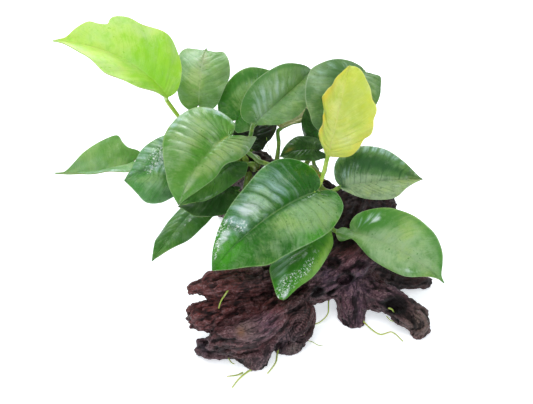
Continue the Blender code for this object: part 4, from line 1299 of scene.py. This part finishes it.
def raise_surface(piece, height_of):
    """Moves each point of the piece along its normal by the height there, and never below the ground."""
    measured = read_vectors(piece.data.vertices, "co") / MM + (*CENTRE, 0.0)
    normals = read_vectors(piece.data.vertex_normals, "vector")
    height, extra = height_of(measured)
    grounded = np.clip(measured[:, 2] / GROUND_FADE, 0, 1)
    moved = measured + (height * grounded)[:, None] * normals
    moved[:, 2] = np.maximum(moved[:, 2], 0.0)
    piece.data.vertices.foreach_set("co", place(moved).ravel())
    piece.data.update()
    return extra


def stroke_height(points):
    """The height of all the grooves and crests at each point, and how deep in a groove it is, from 0 to 1."""
    total, deep = np.zeros(len(points)), np.zeros(len(points))
    bend, bend_size, bend_seed = STROKE_BEND
    wander, wander_size, wander_seed = STROKE_WANDER
    for stroke in STROKES:
        line = smooth_curve(stroke.points, np.linspace(0, 1, STROKE_POINTS))
        reach = 3 * stroke.wide
        near = np.all((points > line.min(axis=0) - reach) & (points < line.max(axis=0) + reach), axis=1)
        shift = [bend * grain_noise(points[near] / bend_size, bend_seed + k) for k in range(3)]
        bent = points[near] + np.stack(shift, axis=1)
        away = np.sqrt(((bent[:, None] - line[None]) ** 2).sum(axis=2).min(axis=1))
        uneven = 1 + wander * grain_noise(points[near] / wander_size, wander_seed)
        shape = np.exp(-((away / (stroke.wide * uneven)) ** 2))
        total[near] += stroke.high * shape
        if stroke.high < 0:
            deep[near] = np.maximum(deep[near], shape)
    return total, deep


def pit_depth(points):
    """How far inside a knot hole each point is, from 0 outside to 1."""
    deep = np.zeros(len(points))
    for centre, half in PITS:
        away = np.sqrt((((points - centre) / half) ** 2).sum(axis=1))
        deep = np.maximum(deep, np.clip((PIT_REACH - away) / PIT_FADE, 0, 1))
    return deep


def chips_of(points, seed):
    """The surface broken into flat chips about one unit wide: each has its own height and its own tilt."""
    cell = np.floor(points).astype(np.int64)
    nearest = np.full(len(points), np.inf)
    height = np.zeros(len(points))
    for step in itertools.product((-1, 0, 1), repeat=3):
        at = cell + step
        key = hashed(at, seed)
        random = np.stack([((key >> shift) & 255) / 255 for shift in (0, 8, 16, 24)], axis=1)
        off = points - at - random[:, :3]
        away = (off**2).sum(axis=1)
        closer = away < nearest
        nearest[closer] = away[closer]
        tilt = (off[closer] * (random[closer][:, [1, 2, 3]] - 0.5)).sum(axis=1)
        height[closer] = random[closer][:, 3] - 0.5 + CHIP_TILT * tilt
    return height


def chips_along(weights, places, marks):
    """Chips drawn out along the grain of the limb that each point belongs to."""
    total = np.zeros(weights.shape[1])
    lead = weights.argmax(axis=0)
    for k, place_along in enumerate(places):
        here = lead == k
        total[here] = chips_of(place_along[here] / (marks.long, marks.wide, marks.wide), marks.seed + k)
    return marks.high * total


def patch_sum(kind, points):
    """How strong the patches of one kind are at each point, from 0 to 1."""
    total = np.zeros(len(points))
    for patch in PATCHES:
        if patch.kind == kind:
            total += patch.strength * np.exp(-((points - patch.place) ** 2).sum(axis=1) / patch.reach**2)
    return np.clip(total, 0, 1)


def broken_ends(weights, places):
    """Splinters of unlike length at the loose ends of the limbs."""
    total = np.zeros(weights.shape[1])
    for k, limb in enumerate(LIMBS):
        if limb.name in LOOSE_ENDS:
            centres, _, _ = limb_rows(limb, GRAIN_POINTS)
            length = np.linalg.norm(np.diff(centres, axis=0), axis=1).sum()
            near = np.clip((places[k][:, 0] - length + SPLINTER_REACH) / SPLINTER_REACH, 0, 1) * weights[k]
            across = places[k] * (0.0, 0.36, 0.36) + SPLINTER_SHIFT * k
            rough = SPLINTER_ROUGHNESS * grain_noise(2.1 * across, 160)
            total += near * (SPLINTER_HEIGHT * chips_of(across, 150 + k) + rough)
    return total


def lumps_of(points, sizes):
    """Smooth lumps of several sizes."""
    return sum(high * grain_noise(points / wide, seed) for high, wide, seed in sizes)


def split(value):
    """A narrow line where the noise is nothing."""
    return np.exp(-((value / CRACK_HALF) ** 2))


def coarse_height(points):
    """Lumps, bundles of grain with furrows between them, and the strokes."""
    weights, places = grain_of(points)
    bundles = along_grain(weights, places, BUNDLES)
    furrows = along_grain(weights, places, FURROWS, split)
    strokes, _ = stroke_height(points)
    slabs = chips_along(weights, places, SLABS) * (1 - 0.6 * patch_sum("worn", points))
    return lumps_of(points, LUMPS) + bundles + slabs + furrows + strokes + broken_ends(weights, places), {}


def ledges(value):
    """Turns a smooth rise into steps with worn edges."""
    step = np.floor(value)
    edge = np.clip((value - step - 0.55) / 0.35, 0, 1)
    return step + edge * edge * (3 - 2 * edge)


def fine_height(points):
    """Splintered ledges, cracks and fibres along the grain. Also the tones of the wood at each point, with
    the masks of its painted shade and painted highlight.
    """
    weights, places = grain_of(points)
    plates = along_grain(weights, places, PLATES, lambda v: ledges(2.6 * v))
    splints = along_grain(weights, places, SPLINTS, lambda v: 1 - 2.4 * np.abs(v))
    fibres = along_grain(weights, places, FIBRES)
    crack = along_grain(weights, places, CRACKS, split)
    crack = crack * np.clip(0.55 + 2.2 * grain_noise(points / 9.0, 36), 0, 1)
    shards = chips_along(weights, places, SHARDS)
    centre, reach, spacing = RINGS
    away = np.sqrt(((points - centre) ** 2).sum(axis=1))
    ringed = np.clip((reach - away) / 6.0, 0, 1)
    turns = (away + 1.5 * grain_noise(points / 9.0, 33)) / spacing
    rings = RING_HEIGHT * ringed * np.sin(2 * math.pi * turns)
    _, groove = stroke_height(points)
    calm = (1 - 0.6 * ringed) * (1 - 0.55 * patch_sum("worn", points))
    broken = plates + splints + shards - CRACK_DEPTH * crack
    height = calm * broken + fibres + lumps_of(points, CHIPS) + rings
    low = np.clip(-0.9 * (height - 0.2), 0, 1)
    tones = {kind: patch_sum(kind, points) for kind in ("red", "grey", "violet", "knot", "pale", "dark")}
    # hollow is painted shade in cracks, grooves, pits and low places.
    tones["hollow"] = np.clip(0.85 * crack * calm + 0.75 * groove + pit_depth(points) + 0.45 * low, 0, 1)
    # ridge is the mask of the painted highlight on the crests, and of the painted shade where it is low.
    tones["ridge"] = np.clip(0.40 + 0.8 * (splints + fibres + 0.4 * plates + rings) + 0.5 * shards, 0, 1)
    blotch = 0.45 + 1.1 * grain_noise(points / 24.0, 29) + along_grain(weights, places, BLOTCHES)
    tones["red"] = np.clip(tones["red"] + 0.55 * np.clip(blotch, 0, 1), 0, 1)
    lead = weights.argmax(axis=0)
    tones["grain"] = np.stack(places)[lead, np.arange(len(points))] + 37.0 * lead[:, None]
    return height, tones


# Materials.


def feed(tree, socket, value):
    """Links a socket to this one, or sets it to a plain value."""
    if isinstance(value, bpy.types.NodeSocket):
        tree.links.new(value, socket)
    else:
        socket.default_value = value


def shader_node(tree, kind, **values):
    """A shader node, with its inputs fed by name. in0 and in1 are its first and its second input."""
    made = tree.nodes.new(kind)
    numbered = {"in0": 0, "in1": 1}
    for name, value in values.items():
        feed(tree, made.inputs[numbered.get(name, name.replace("_", " "))], value)
    return made


def attribute(tree, name, output="Fac"):
    """A value that the mesh holds at each point."""
    made = tree.nodes.new("ShaderNodeAttribute")
    made.attribute_name = name
    return made.outputs[output]


def maths(tree, operation, first, second=0.5, third=0.5):
    made = tree.nodes.new("ShaderNodeMath")
    made.operation = operation
    for socket, value in zip(made.inputs, (first, second, third)):
        feed(tree, socket, value)
    return made.outputs[0]


def mixed(tree, share, first, second, blend="MIX"):
    """A mix of two colours, whose sockets are the seventh and the eighth of the node."""
    made = tree.nodes.new("ShaderNodeMix")
    made.data_type = "RGBA"
    made.blend_type = blend
    made.clamp_factor = True
    for number, value in ((0, share), (6, first), (7, second)):
        feed(tree, made.inputs[number], value)
    return made.outputs[2]


def ranged(tree, value, low, high, out_low=0.0, out_high=1.0):
    """A value brought smoothly from one range to another, and held at its ends."""
    made = shader_node(tree, "ShaderNodeMapRange", Value=value)
    made.interpolation_type = "SMOOTHSTEP"
    for name, number in (("From Min", low), ("From Max", high), ("To Min", out_low), ("To Max", out_high)):
        made.inputs[name].default_value = number
    return made.outputs[0]


def noise_at(tree, vector, scale, detail=3.0, rough=0.55, stretch=None):
    """Noise at a place. stretch says how often it changes along each axis."""
    if stretch:
        vector = shader_node(tree, "ShaderNodeVectorMath", in0=vector, in1=stretch)
        vector.operation = "MULTIPLY"
        vector = vector.outputs[0]
    made = shader_node(tree, "ShaderNodeTexNoise", Vector=vector, Scale=scale, Detail=detail, Roughness=rough)
    return made.outputs["Fac"]


def own_place(tree):
    """Where each point is on its piece, in metres."""
    return tree.nodes.new("ShaderNodeTexCoord").outputs["Object"]


def combined(tree, x, y, z=0.0):
    return shader_node(tree, "ShaderNodeCombineXYZ", X=x, Y=y, Z=z).outputs[0]


def new_group(name, inputs, outputs):
    """An empty shader node group with those sockets, and its input and output nodes."""
    tree = bpy.data.node_groups.new(name, "ShaderNodeTree")
    for label, kind, value in inputs:
        socket = tree.interface.new_socket(label, in_out="INPUT", socket_type=kind)
        socket.default_value = value
    for label, kind in outputs:
        tree.interface.new_socket(label, in_out="OUTPUT", socket_type=kind)
    return tree, tree.nodes.new("NodeGroupInput").outputs, tree.nodes.new("NodeGroupOutput").inputs


COLOUR, VALUE = "NodeSocketColor", "NodeSocketFloat"


def leaf_tissue_group():
    """Colour, roughness and fine relief of a blade, laid out along its side veins, with painted sheen,
    highlights, glints and shade in the colour.
    """
    tree, given, out = new_group(
        "leaf tissue",
        (("Deep", COLOUR, (0, 0, 0, 1)), ("Fresh", COLOUR, (0, 0, 0, 1)), ("Pale", COLOUR, (0, 0, 0, 1)),
         ("Painted Sheen", COLOUR, (0, 0, 0, 1)), ("Warm", COLOUR, (0, 0, 0, 1)), ("Rib Light", VALUE, 0.3),
         ("Groove", VALUE, 0.4), ("Mottle", VALUE, 0.5), ("Seed", VALUE, 0.0), ("Wet", VALUE, 0.5)),
        (("Colour", COLOUR), ("Roughness", VALUE), ("Height", VALUE), ("Coat", VALUE)),
    )
    across, vein = attribute(tree, "across"), attribute(tree, "vein")
    side = maths(tree, "ABSOLUTE", across)
    seeded = shader_node(tree, "ShaderNodeVectorMath", in0=own_place(tree),
                         in1=combined(tree, given["Seed"], 0.0)).outputs[0]
    soft = noise_at(tree, seeded, 26.0, 3.0, 0.5)
    patchy = noise_at(tree, seeded, 80.0, 5.0, 0.65)
    cloud = noise_at(tree, seeded, 190.0, 6.0, 0.7)
    speck = noise_at(tree, seeded, 1300.0, 2.0, 0.5)
    dots = noise_at(tree, seeded, 380.0, 1.0, 0.4)
    droplets = noise_at(tree, seeded, 700.0, 4.0, 0.8)
    film = noise_at(tree, seeded, 60.0, 4.0, 0.65)
    off_vein = maths(tree, "PINGPONG", vein, 0.5)
    fine_vein = ranged(tree, maths(tree, "PINGPONG", maths(tree, "MULTIPLY", vein, 6.0), 0.5), 0.0, 0.5)

    def along_veins(close, far, detail=2.0):
        """Noise drawn out along the side veins: close is how often it changes from one vein to the next."""
        flow = combined(
            tree, maths(tree, "MULTIPLY", vein, close), maths(tree, "MULTIPLY", across, far), given["Seed"])
        return noise_at(tree, flow, 1.0, detail, 0.6)

    streaks = along_veins(2.2, 1.2)
    fine_streaks = along_veins(9.0, 2.5, 3.0)
    crinkle = along_veins(5.0, 5.0, 3.0)
    ragged = maths(tree, "MULTIPLY_ADD", maths(tree, "SUBTRACT", streaks, 0.5), 0.8,
                   maths(tree, "MULTIPLY", maths(tree, "SUBTRACT", patchy, 0.5), 0.9))

    def patch_of(kind, low=0.12, high=0.85):
        """The spots of that kind, with borders feathered along the veins."""
        return ranged(tree, maths(tree, "ADD", attribute(tree, kind), ragged), low, high)

    body = mixed(tree, ranged(tree, soft, 0.36, 0.64), given["Fresh"], given["Deep"])
    light = ranged(tree, maths(tree, "MULTIPLY_ADD", patchy, 0.7, maths(tree, "MULTIPLY", fine_streaks, 0.3)),
                   0.42, 0.66)
    body = mixed(tree, maths(tree, "MULTIPLY", light, given["Mottle"]), body, given["Pale"])
    # Pale spots are partly the leaf's own paler green and partly painted sheen; shade spots are partly its
    # own darker green and partly painted shade.
    body = mixed(tree, maths(tree, "MULTIPLY", patch_of("pale"), 0.8), body, given["Pale"])
    body = mixed(tree, maths(tree, "MULTIPLY", patch_of("shade"), 0.9), body, given["Deep"])
    # Painted sheen: the pale glare of reflected light, laid in bands between the side veins.
    banded = maths(tree, "MULTIPLY", ranged(tree, off_vein, 0.0, 0.38, 0.30, 1.0),
                   ranged(tree, streaks, 0.36, 0.60, 0.45, 1.0))
    body = mixed(tree, maths(tree, "MULTIPLY", patch_of("painted_sheen"), banded), body, given["Painted Sheen"])
    body = mixed(tree, attribute(tree, "warm"), body, given["Warm"])
    # Darker lines along the side veins: partly the veins' own darker green and partly painted shade in their
    # grooves.
    line = maths(tree, "MULTIPLY", ranged(tree, off_vein, 0.0, 0.13, 1.0, 0.0),
                 ranged(tree, streaks, 0.40, 0.58, 0.1, 1.0))
    line = maths(tree, "MULTIPLY", line, ranged(tree, side, 0.75, 1.0, 1.0, 0.0))
    body = mixed(tree, maths(tree, "MULTIPLY", line, given["Groove"]), body, given["Deep"])
    rib = ranged(tree, side, 0.010, 0.035, 1.0, 0.0)
    body = mixed(tree, maths(tree, "MULTIPLY", rib, given["Rib Light"]), body, given["Pale"])
    body = mixed(tree, ranged(tree, side, 0.965, 0.99, 0.0, 0.6), body, given["Pale"])
    body = mixed(tree, ranged(tree, fine_streaks, 0.30, 0.52, 0.14, 0.0), body, given["Deep"])
    body = mixed(tree, ranged(tree, cloud, 0.32, 0.50, 0.38, 0.0), body, given["Deep"])
    body = mixed(tree, ranged(tree, cloud, 0.52, 0.70, 0.0, 0.2), body, given["Pale"])
    warmth = noise_at(tree, seeded, 42.0, 5.0, 0.65)
    body = mixed(tree, ranged(tree, warmth, 0.46, 0.62, 0.0, 0.6), body, WARMER, "MULTIPLY")
    body = mixed(tree, ranged(tree, warmth, 0.34, 0.50, 0.5, 0.0), body, COOLER, "MULTIPLY")
    body = mixed(tree, ranged(tree, speck, 0.30, 0.36, 0.4, 0.0), body, given["Deep"])
    body = mixed(tree, ranged(tree, dots, 0.72, 0.76, 0.0, 0.7), body, given["Deep"])
    # Painted highlight: pale glare in streaks over the gleam spots.
    gleam = maths(tree, "MULTIPLY", patch_of("gleam", 0.2, 0.8),
                  ranged(tree, fine_streaks, 0.35, 0.60, 0.45, 0.9))
    body = mixed(tree, gleam, body, GLEAM)
    # Painted glints of light on water drops over the sparkle spots.
    sparkle = maths(tree, "MULTIPLY", patch_of("sparkle", 0.15, 0.6), ranged(tree, droplets, 0.53, 0.60))
    body = mixed(tree, sparkle, body, SPARKLE)
    tree.links.new(body, out["Colour"])
    wet = maths(tree, "MULTIPLY", ranged(tree, film, 0.42, 0.56), given["Wet"])
    tree.links.new(ranged(tree, wet, 0.0, 1.0, DRY_ROUGHNESS, WET_ROUGHNESS), out["Roughness"])
    tree.links.new(maths(tree, "MULTIPLY", wet, 0.5), out["Coat"])
    beads = maths(tree, "MULTIPLY", ranged(tree, droplets, 0.5, 0.62), attribute(tree, "sparkle"))
    relief = maths(tree, "MULTIPLY_ADD", fine_vein, 0.3, maths(tree, "MULTIPLY", speck, 0.25))
    relief = maths(tree, "MULTIPLY_ADD", crinkle, 1.8, relief)
    relief = maths(tree, "MULTIPLY_ADD", beads, 0.8, relief)
    tree.links.new(relief, out["Height"])
    return tree


def principled(name, **values):
    """A new material, its node tree and its Principled shader, with these inputs set."""
    made = bpy.data.materials.new(name)
    made.use_nodes = True
    shader = made.node_tree.nodes["Principled BSDF"]
    for key, value in values.items():
        shader.inputs[key.replace("_", " ")].default_value = value
    return made, made.node_tree, shader


def bumped(tree, shader, height, distance, strength):
    """Gives the shader a fine relief, this many millimetres high."""
    bump = shader_node(tree, "ShaderNodeBump", Height=height, Distance=distance * MM, Strength=strength)
    tree.links.new(bump.outputs[0], shader.inputs["Normal"])


def leaf_material(name, deep, fresh, pale, painted_sheen=(168, 200, 188), warm=(205, 170, 60), rib=0.1, groove=0.4,
                  mottle=0.5, wet=0.5, subsurface=0.1, seed=0.0):
    """Leaf tissue in this leaf's own greens. A dry leaf has one roughness all over and no coat of water."""
    made, tree, shader = principled(name, Coat_Roughness=0.10, Specular_IOR_Level=0.4,
                                    Roughness=DRY_ROUGHNESS, Subsurface_Weight=subsurface,
                                    Subsurface_Scale=0.004, Subsurface_Radius=(0.5, 1.0, 0.2))
    group = tree.nodes.new("ShaderNodeGroup")
    group.node_tree = LEAF_TISSUE
    for label, colour in (("Deep", deep), ("Fresh", fresh), ("Pale", pale), ("Painted Sheen", painted_sheen), ("Warm", warm)):
        group.inputs[label].default_value = srgb(*colour)
    numbers = (("Rib Light", rib), ("Groove", groove), ("Mottle", mottle), ("Seed", seed), ("Wet", wet))
    for label, value in numbers:
        group.inputs[label].default_value = value
    tree.links.new(group.outputs["Colour"], shader.inputs["Base Color"])
    if wet:
        tree.links.new(group.outputs["Roughness"], shader.inputs["Roughness"])
        tree.links.new(group.outputs["Coat"], shader.inputs["Coat Weight"])
    bumped(tree, shader, group.outputs["Height"], 0.16, 0.7)
    return made


def rim_material(name, colour):
    """The thin edge of a blade."""
    made, tree, shader = principled(name, Roughness=0.45, Subsurface_Weight=0.2, Subsurface_Scale=0.003)
    where = own_place(tree)
    tone = mixed(tree, noise_at(tree, where, 60.0), srgb(*colour), srgb(*[c * 0.8 for c in colour]))
    tree.links.new(tone, shader.inputs["Base Color"])
    return made


def stalk_material(name, low, high, edge):
    """A stalk that turns from one colour at its foot to another at the blade, with fine streaks along it."""
    made, tree, shader = principled(name, Roughness=0.4, Coat_Weight=0.15, Coat_Roughness=0.25,
                                    Subsurface_Weight=0.15, Subsurface_Scale=0.004)
    run = attribute(tree, "run")
    where = own_place(tree)
    tone = mixed(tree, ranged(tree, run, 0.0, 0.035), srgb(*low), srgb(*high))
    tone = mixed(tree, ranged(tree, noise_at(tree, where, 260.0, 4.0), 0.45, 0.75), tone, srgb(*edge))
    tree.links.new(tone, shader.inputs["Base Color"])
    bumped(tree, shader, noise_at(tree, where, 700.0, 3.0), 0.15, 0.5)
    return made


def wood_material():
    """Dark water-worn wood: brown with red, violet and blue-grey patches, grit, grain and black hollows. The
    violet and blue-grey patches are partly painted sheen, the crests carry a painted highlight, and the
    hollows, low places and dark patches painted shade.
    """
    made, tree, shader = principled("wet driftwood", Coat_Weight=0.06, Coat_Roughness=0.25,
                                    Specular_IOR_Level=0.3)
    where = own_place(tree)
    grain = attribute(tree, "grain", "Vector")
    fibre = noise_at(tree, grain, 1.0, 4.0, 0.6, (160.0, 700.0, 700.0))
    streak = noise_at(tree, grain, 1.0, 4.0, 0.6, (60.0, 240.0, 240.0))
    seam = noise_at(tree, grain, 1.0, 3.0, 0.5, (22.0, 260.0, 260.0))
    seam = ranged(tree, maths(tree, "ABSOLUTE", maths(tree, "SUBTRACT", seam, 0.5)), 0.004, 0.022, 1.0, 0.0)
    grit = noise_at(tree, where, 700.0, 3.0, 0.6)
    crumb = noise_at(tree, where, 280.0, 4.0, 0.65)
    broad = noise_at(tree, where, 55.0, 4.0, 0.6)
    tone = mixed(tree, ranged(tree, streak, 0.35, 0.65), srgb(*WOOD_COLOURS["furrow"]),
                 srgb(*WOOD_COLOURS["face"]))

    def laid_over(share, colour):
        """The wood so far, with this colour laid over it."""
        return mixed(tree, share, tone, srgb(*WOOD_COLOURS[colour]))

    def product(first, second):
        return maths(tree, "MULTIPLY", first, second)

    reddened = product(attribute(tree, "red"), ranged(tree, crumb, 0.30, 0.60, 0.35, 1.0))
    tone = laid_over(product(reddened, 0.85), "red")
    # grey and violet lay partly painted sheen over the wood, and dark lays painted shade.
    for kind, share in (("grey", 0.85), ("violet", 0.85), ("pale", 0.9), ("dark", 0.95)):
        patch = product(attribute(tree, kind), ranged(tree, crumb, 0.32, 0.62, 0.45, 1.0))
        tone = laid_over(product(patch, share), kind)
    # Painted highlight on the crests of the relief, held off the dark patches of painted shade.
    lit = product(attribute(tree, "ridge"), ranged(tree, grit, 0.42, 0.66, 0.08, 0.85))
    lit = product(lit, ranged(tree, attribute(tree, "dark"), 0.1, 0.8, 1.0, 0.04))
    tone = laid_over(lit, "crest")
    # Painted shade where the relief is low.
    tone = laid_over(ranged(tree, attribute(tree, "ridge"), 0.0, 0.5, 0.8, 0.0), "low")
    tone = laid_over(product(seam, 0.7), "seam")
    tone = laid_over(ranged(tree, fibre, 0.52, 0.66, 0.0, 0.45), "fibre")
    tone = laid_over(ranged(tree, crumb, 0.54, 0.68, 0.0, 0.35), "crumb")
    tone = laid_over(ranged(tree, broad, 0.54, 0.70, 0.0, 0.5), "broad")
    tone = laid_over(product(attribute(tree, "knot"), ranged(tree, fibre, 0.3, 0.6, 0.6, 1.0)), "knot")
    # Painted shade, near black, in cracks, grooves, pits and low places.
    tone = laid_over(product(attribute(tree, "hollow"), 0.93), "hollow")
    tree.links.new(tone, shader.inputs["Base Color"])
    dull = product(attribute(tree, "dark"), 0.9)
    rough = maths(tree, "MAXIMUM", ranged(tree, crumb, 0.3, 0.7, 0.38, 0.75), dull)
    tree.links.new(rough, shader.inputs["Roughness"])
    relief = maths(tree, "MULTIPLY_ADD", fibre, 0.4, product(grit, 0.6))
    relief = maths(tree, "MULTIPLY_ADD", crumb, 0.5, relief)
    relief = maths(tree, "MULTIPLY_ADD", seam, -0.5, relief)
    bumped(tree, shader, relief, 0.6, 0.9)
    return made


def rhizome_material():
    """Dark old skin that turns green and ochre towards the growing end."""
    made, tree, shader = principled("rhizome skin", Roughness=0.6)
    where = own_place(tree)
    patch = noise_at(tree, where, 140.0, 4.0, 0.6)
    old = mixed(tree, ranged(tree, patch, 0.4, 0.65), srgb(22, 18, 13), srgb(46, 38, 22))
    young = mixed(tree, ranged(tree, patch, 0.4, 0.65), srgb(120, 112, 40), srgb(150, 116, 52))
    tone = mixed(tree, ranged(tree, attribute(tree, "run"), 0.72, 0.96), old, young)
    tree.links.new(tone, shader.inputs["Base Color"])
    bumped(tree, shader, noise_at(tree, where, 600.0, 4.0), 0.4, 0.8)
    return made


# Room.


def floor_object():
    """A wide sheet of white paper."""
    shape = bmesh.new()
    bmesh.ops.create_grid(shape, x_segments=1, y_segments=1, size=FLOOR_HALF)
    made = object_from("studio_floor", shape)
    look, _, _ = principled("white paper", Base_Color=(0.93, 0.94, 0.96, 1.0), Roughness=0.9,
                            Emission_Color=(0.90, 0.95, 1.0, 1.0), Emission_Strength=FLOOR_GLOW)
    made.data.materials.append(look)


def soft_light(name, spot, aim, size, power, colour=(1.0, 1.0, 1.0), gloss=True):
    """A flat lamp at spot that shines towards aim. Without gloss it shows in no reflection."""
    lamp = bpy.data.lights.new(name, "AREA")
    lamp.shape = "RECTANGLE"
    lamp.size, lamp.size_y = size
    lamp.energy = power
    lamp.color = colour
    made = new_object(name, lamp)
    made.location = spot
    made.rotation_euler = (Vector(aim) - Vector(spot)).to_track_quat("-Z", "Y").to_euler()
    made.visible_glossy = gloss


def studio():
    """White paper under three soft lights, in a pale room."""
    floor_object()
    soft_light("light_back", (-0.25, 1.15, 1.0), (0, 0, 0.08), (0.8, 0.55), 13, (0.90, 0.96, 1.0))
    soft_light("light_top", (-0.3, -0.1, 1.5), (0, 0, 0.05), (1.3, 1.3), 15, gloss=False)
    soft_light("light_front", (0.5, -1.2, 0.9), (0, 0, 0.08), (1.2, 0.9), 5, (1.0, 0.99, 0.96), gloss=False)
    world = bpy.data.worlds.new("white room")
    bpy.context.scene.world = world
    world.use_nodes = True
    sky = world.node_tree.nodes["Background"]
    sky.inputs["Color"].default_value = (0.96, 0.98, 1.0, 1.0)
    sky.inputs["Strength"].default_value = ROOM_LIGHT
    bpy.context.scene.view_settings.view_transform = "Standard"


def camera():
    """Looks at the plant as the photographer did."""
    data = bpy.data.cameras.new("photo_view")
    data.lens = CAMERA_LENS
    data.sensor_width = CAMERA_SENSOR
    data.clip_start = 0.01
    back = CAMERA_DISTANCE * np.array((0.0, -math.cos(CAMERA_ELEVATION), math.sin(CAMERA_ELEVATION)))
    made = new_object("photo_view", data)
    made.location = place([np.add(CAMERA_TARGET, back)])[0]
    made.rotation_euler = (math.pi / 2 - CAMERA_ELEVATION, 0.0, 0.0)
    bpy.context.scene.camera = made


# The plant is put together here.

camera()
studio()
ROD_TREE = rod_tree()
LEAF_TISSUE = leaf_tissue_group()

LEAF_LOOKS = {
    "12": leaf_material("big wet leaf", (28, 92, 6), (60, 144, 4), (142, 174, 124), painted_sheen=(152, 186, 174),
                        seed=1.0, wet=0.8, groove=0.3, mottle=0.4, rib=0.3),
    "13": leaf_material("vivid wet leaf", (34, 106, 0), (54, 138, 0), (130, 172, 90),
                        painted_sheen=(130, 170, 140), seed=2.0, wet=0.4, mottle=0.2, warm=(140, 180, 70)),
    "15": leaf_material("dark wet leaf", (38, 94, 30), (78, 138, 68), (138, 174, 130), seed=3.0, wet=0.6),
    "14": leaf_material("ribbed leaf", (72, 130, 40), (112, 158, 86), (152, 178, 130), seed=4.0, wet=0.4,
                        warm=(176, 196, 104), groove=0.5),
    "10": leaf_material("two toned leaf", (38, 82, 36), (84, 126, 66), (158, 180, 138), seed=5.0,
                        mottle=0.3, groove=0.7),
    "11": leaf_material("light leaf", (62, 124, 34), (112, 158, 80), (156, 182, 132), seed=6.0,
                        groove=0.15),
    "03": leaf_material("light upper leaf", (48, 110, 22), (110, 152, 76), (160, 188, 130), seed=7.0),
    "02": leaf_material("grey green leaf", (90, 136, 62), (140, 172, 114), (168, 190, 150), seed=8.0,
                        wet=0.1, warm=(160, 140, 110), rib=0.3),
    "04": leaf_material("blue green leaf", (70, 120, 52), (112, 148, 94), (152, 176, 134), seed=9.0,
                        wet=0.3, painted_sheen=(154, 182, 160)),
    "06": leaf_material("grey upper leaf", (80, 118, 66), (116, 146, 98), (156, 178, 140), seed=10.0,
                        wet=0.3),
    "16": leaf_material("side leaf", (98, 148, 78), (136, 170, 118), (160, 186, 146), seed=11.0, wet=0.1,
                        groove=0.1),
    "17": leaf_material("low leaf", (46, 104, 28), (84, 134, 64), (130, 164, 116), seed=12.0, wet=0.3,
                        painted_sheen=(112, 148, 118)),
    "05": leaf_material("turned leaf", (120, 130, 84), (150, 156, 112), (182, 182, 146), seed=13.0,
                        wet=0.0, warm=(180, 176, 138), rib=0.3),
    # Leaves 18, 19 and 20, and 07 with the tissue of 19, lie in the shadow of other leaves: their darker
    # greens are painted shade.
    "18": leaf_material("shaded leaf", (34, 80, 22), (76, 136, 44), (124, 162, 96), seed=14.0, wet=0.2),
    "08": leaf_material("leaf behind", (26, 66, 8), (54, 100, 24), (104, 140, 76), seed=18.0, wet=0.2,
                        warm=(190, 150, 50)),
    "19": leaf_material("deep shaded leaf", (20, 58, 8), (44, 90, 26), (92, 128, 76), seed=15.0, wet=0.1),
    "20": leaf_material("darkest shaded leaf", (6, 20, 2), (14, 32, 8), (40, 60, 30), seed=19.0, wet=0.0),
    "01": leaf_material("young lime leaf", (148, 206, 44), (180, 222, 96), (202, 228, 144), seed=16.0,
                        wet=0.0, subsurface=0.25, rib=0.3, groove=0.25),
    "09": leaf_material("old yellow leaf", (182, 196, 76), (200, 212, 98), (220, 224, 136), seed=17.0,
                        wet=0.0, warm=(226, 196, 70), subsurface=0.25, rib=0.5, groove=0.2),
}
LEAF_LOOKS["07"] = LEAF_LOOKS["19"]
under_leaf = leaf_material("leaf underside", (92, 128, 66), (120, 152, 92), (158, 180, 134), seed=20.0,
                           wet=0.0, rib=0.6, mottle=0.3)
under_lime = leaf_material("lime underside", (156, 202, 70), (178, 218, 100), (206, 230, 150), seed=21.0,
                           wet=0.0, rib=0.6, mottle=0.3, subsurface=0.25)
pale_rim = rim_material("pale leaf edge", (126, 164, 84))
lime_rim = rim_material("lime leaf edge", (190, 226, 130))
green_stalk = stalk_material("green stalk", (96, 118, 40), (96, 146, 52), (140, 172, 70))
lime_stalk = stalk_material("lime stalk", (140, 176, 50), (168, 208, 70), (196, 222, 110))
root_look = stalk_material("green root", (150, 172, 70), (176, 196, 96), (206, 214, 140))

for leaf in LEAVES:
    pale = leaf.name in ("01", "09")
    under, rim = (under_lime, lime_rim) if pale else (under_leaf, pale_rim)
    leaf_blade(leaf, (LEAF_LOOKS[leaf.name], under, rim))
    stalk = rod("stalk_" + leaf.name, *stalk_and_keel(leaf), lime_stalk if pale else green_stalk)
    take_part(stalk, "stalk", "leaf_stalk_" + leaf.name)

creeping = rhizome(rhizome_material())
hairs = new_object("rhizome_hairs", creeping.data.copy())
grow(hairs, hair_tree(), Density=90000.0, Length=4.0 * MM, Thickness=0.13 * MM,
     Finish=stalk_material("root hair", (60, 46, 24), (110, 84, 44), (170, 150, 90)))
take_part(creeping, "rhizome", "rhizome")
take_part(hairs, "root")
take_part(fine_roots(root_look), "root")

for root in ROOTS:
    route = smooth_curve(root.points, np.linspace(0, 1, ROOT_POINTS))
    radii = ROOT_SHARE_OF_SOLID * root.radius * np.linspace(1, ROOT_TAPER, ROOT_POINTS)
    take_part(rod(root.name + "_strand", route, radii, root_look), "root", root.name)

driftwood(wood_material())
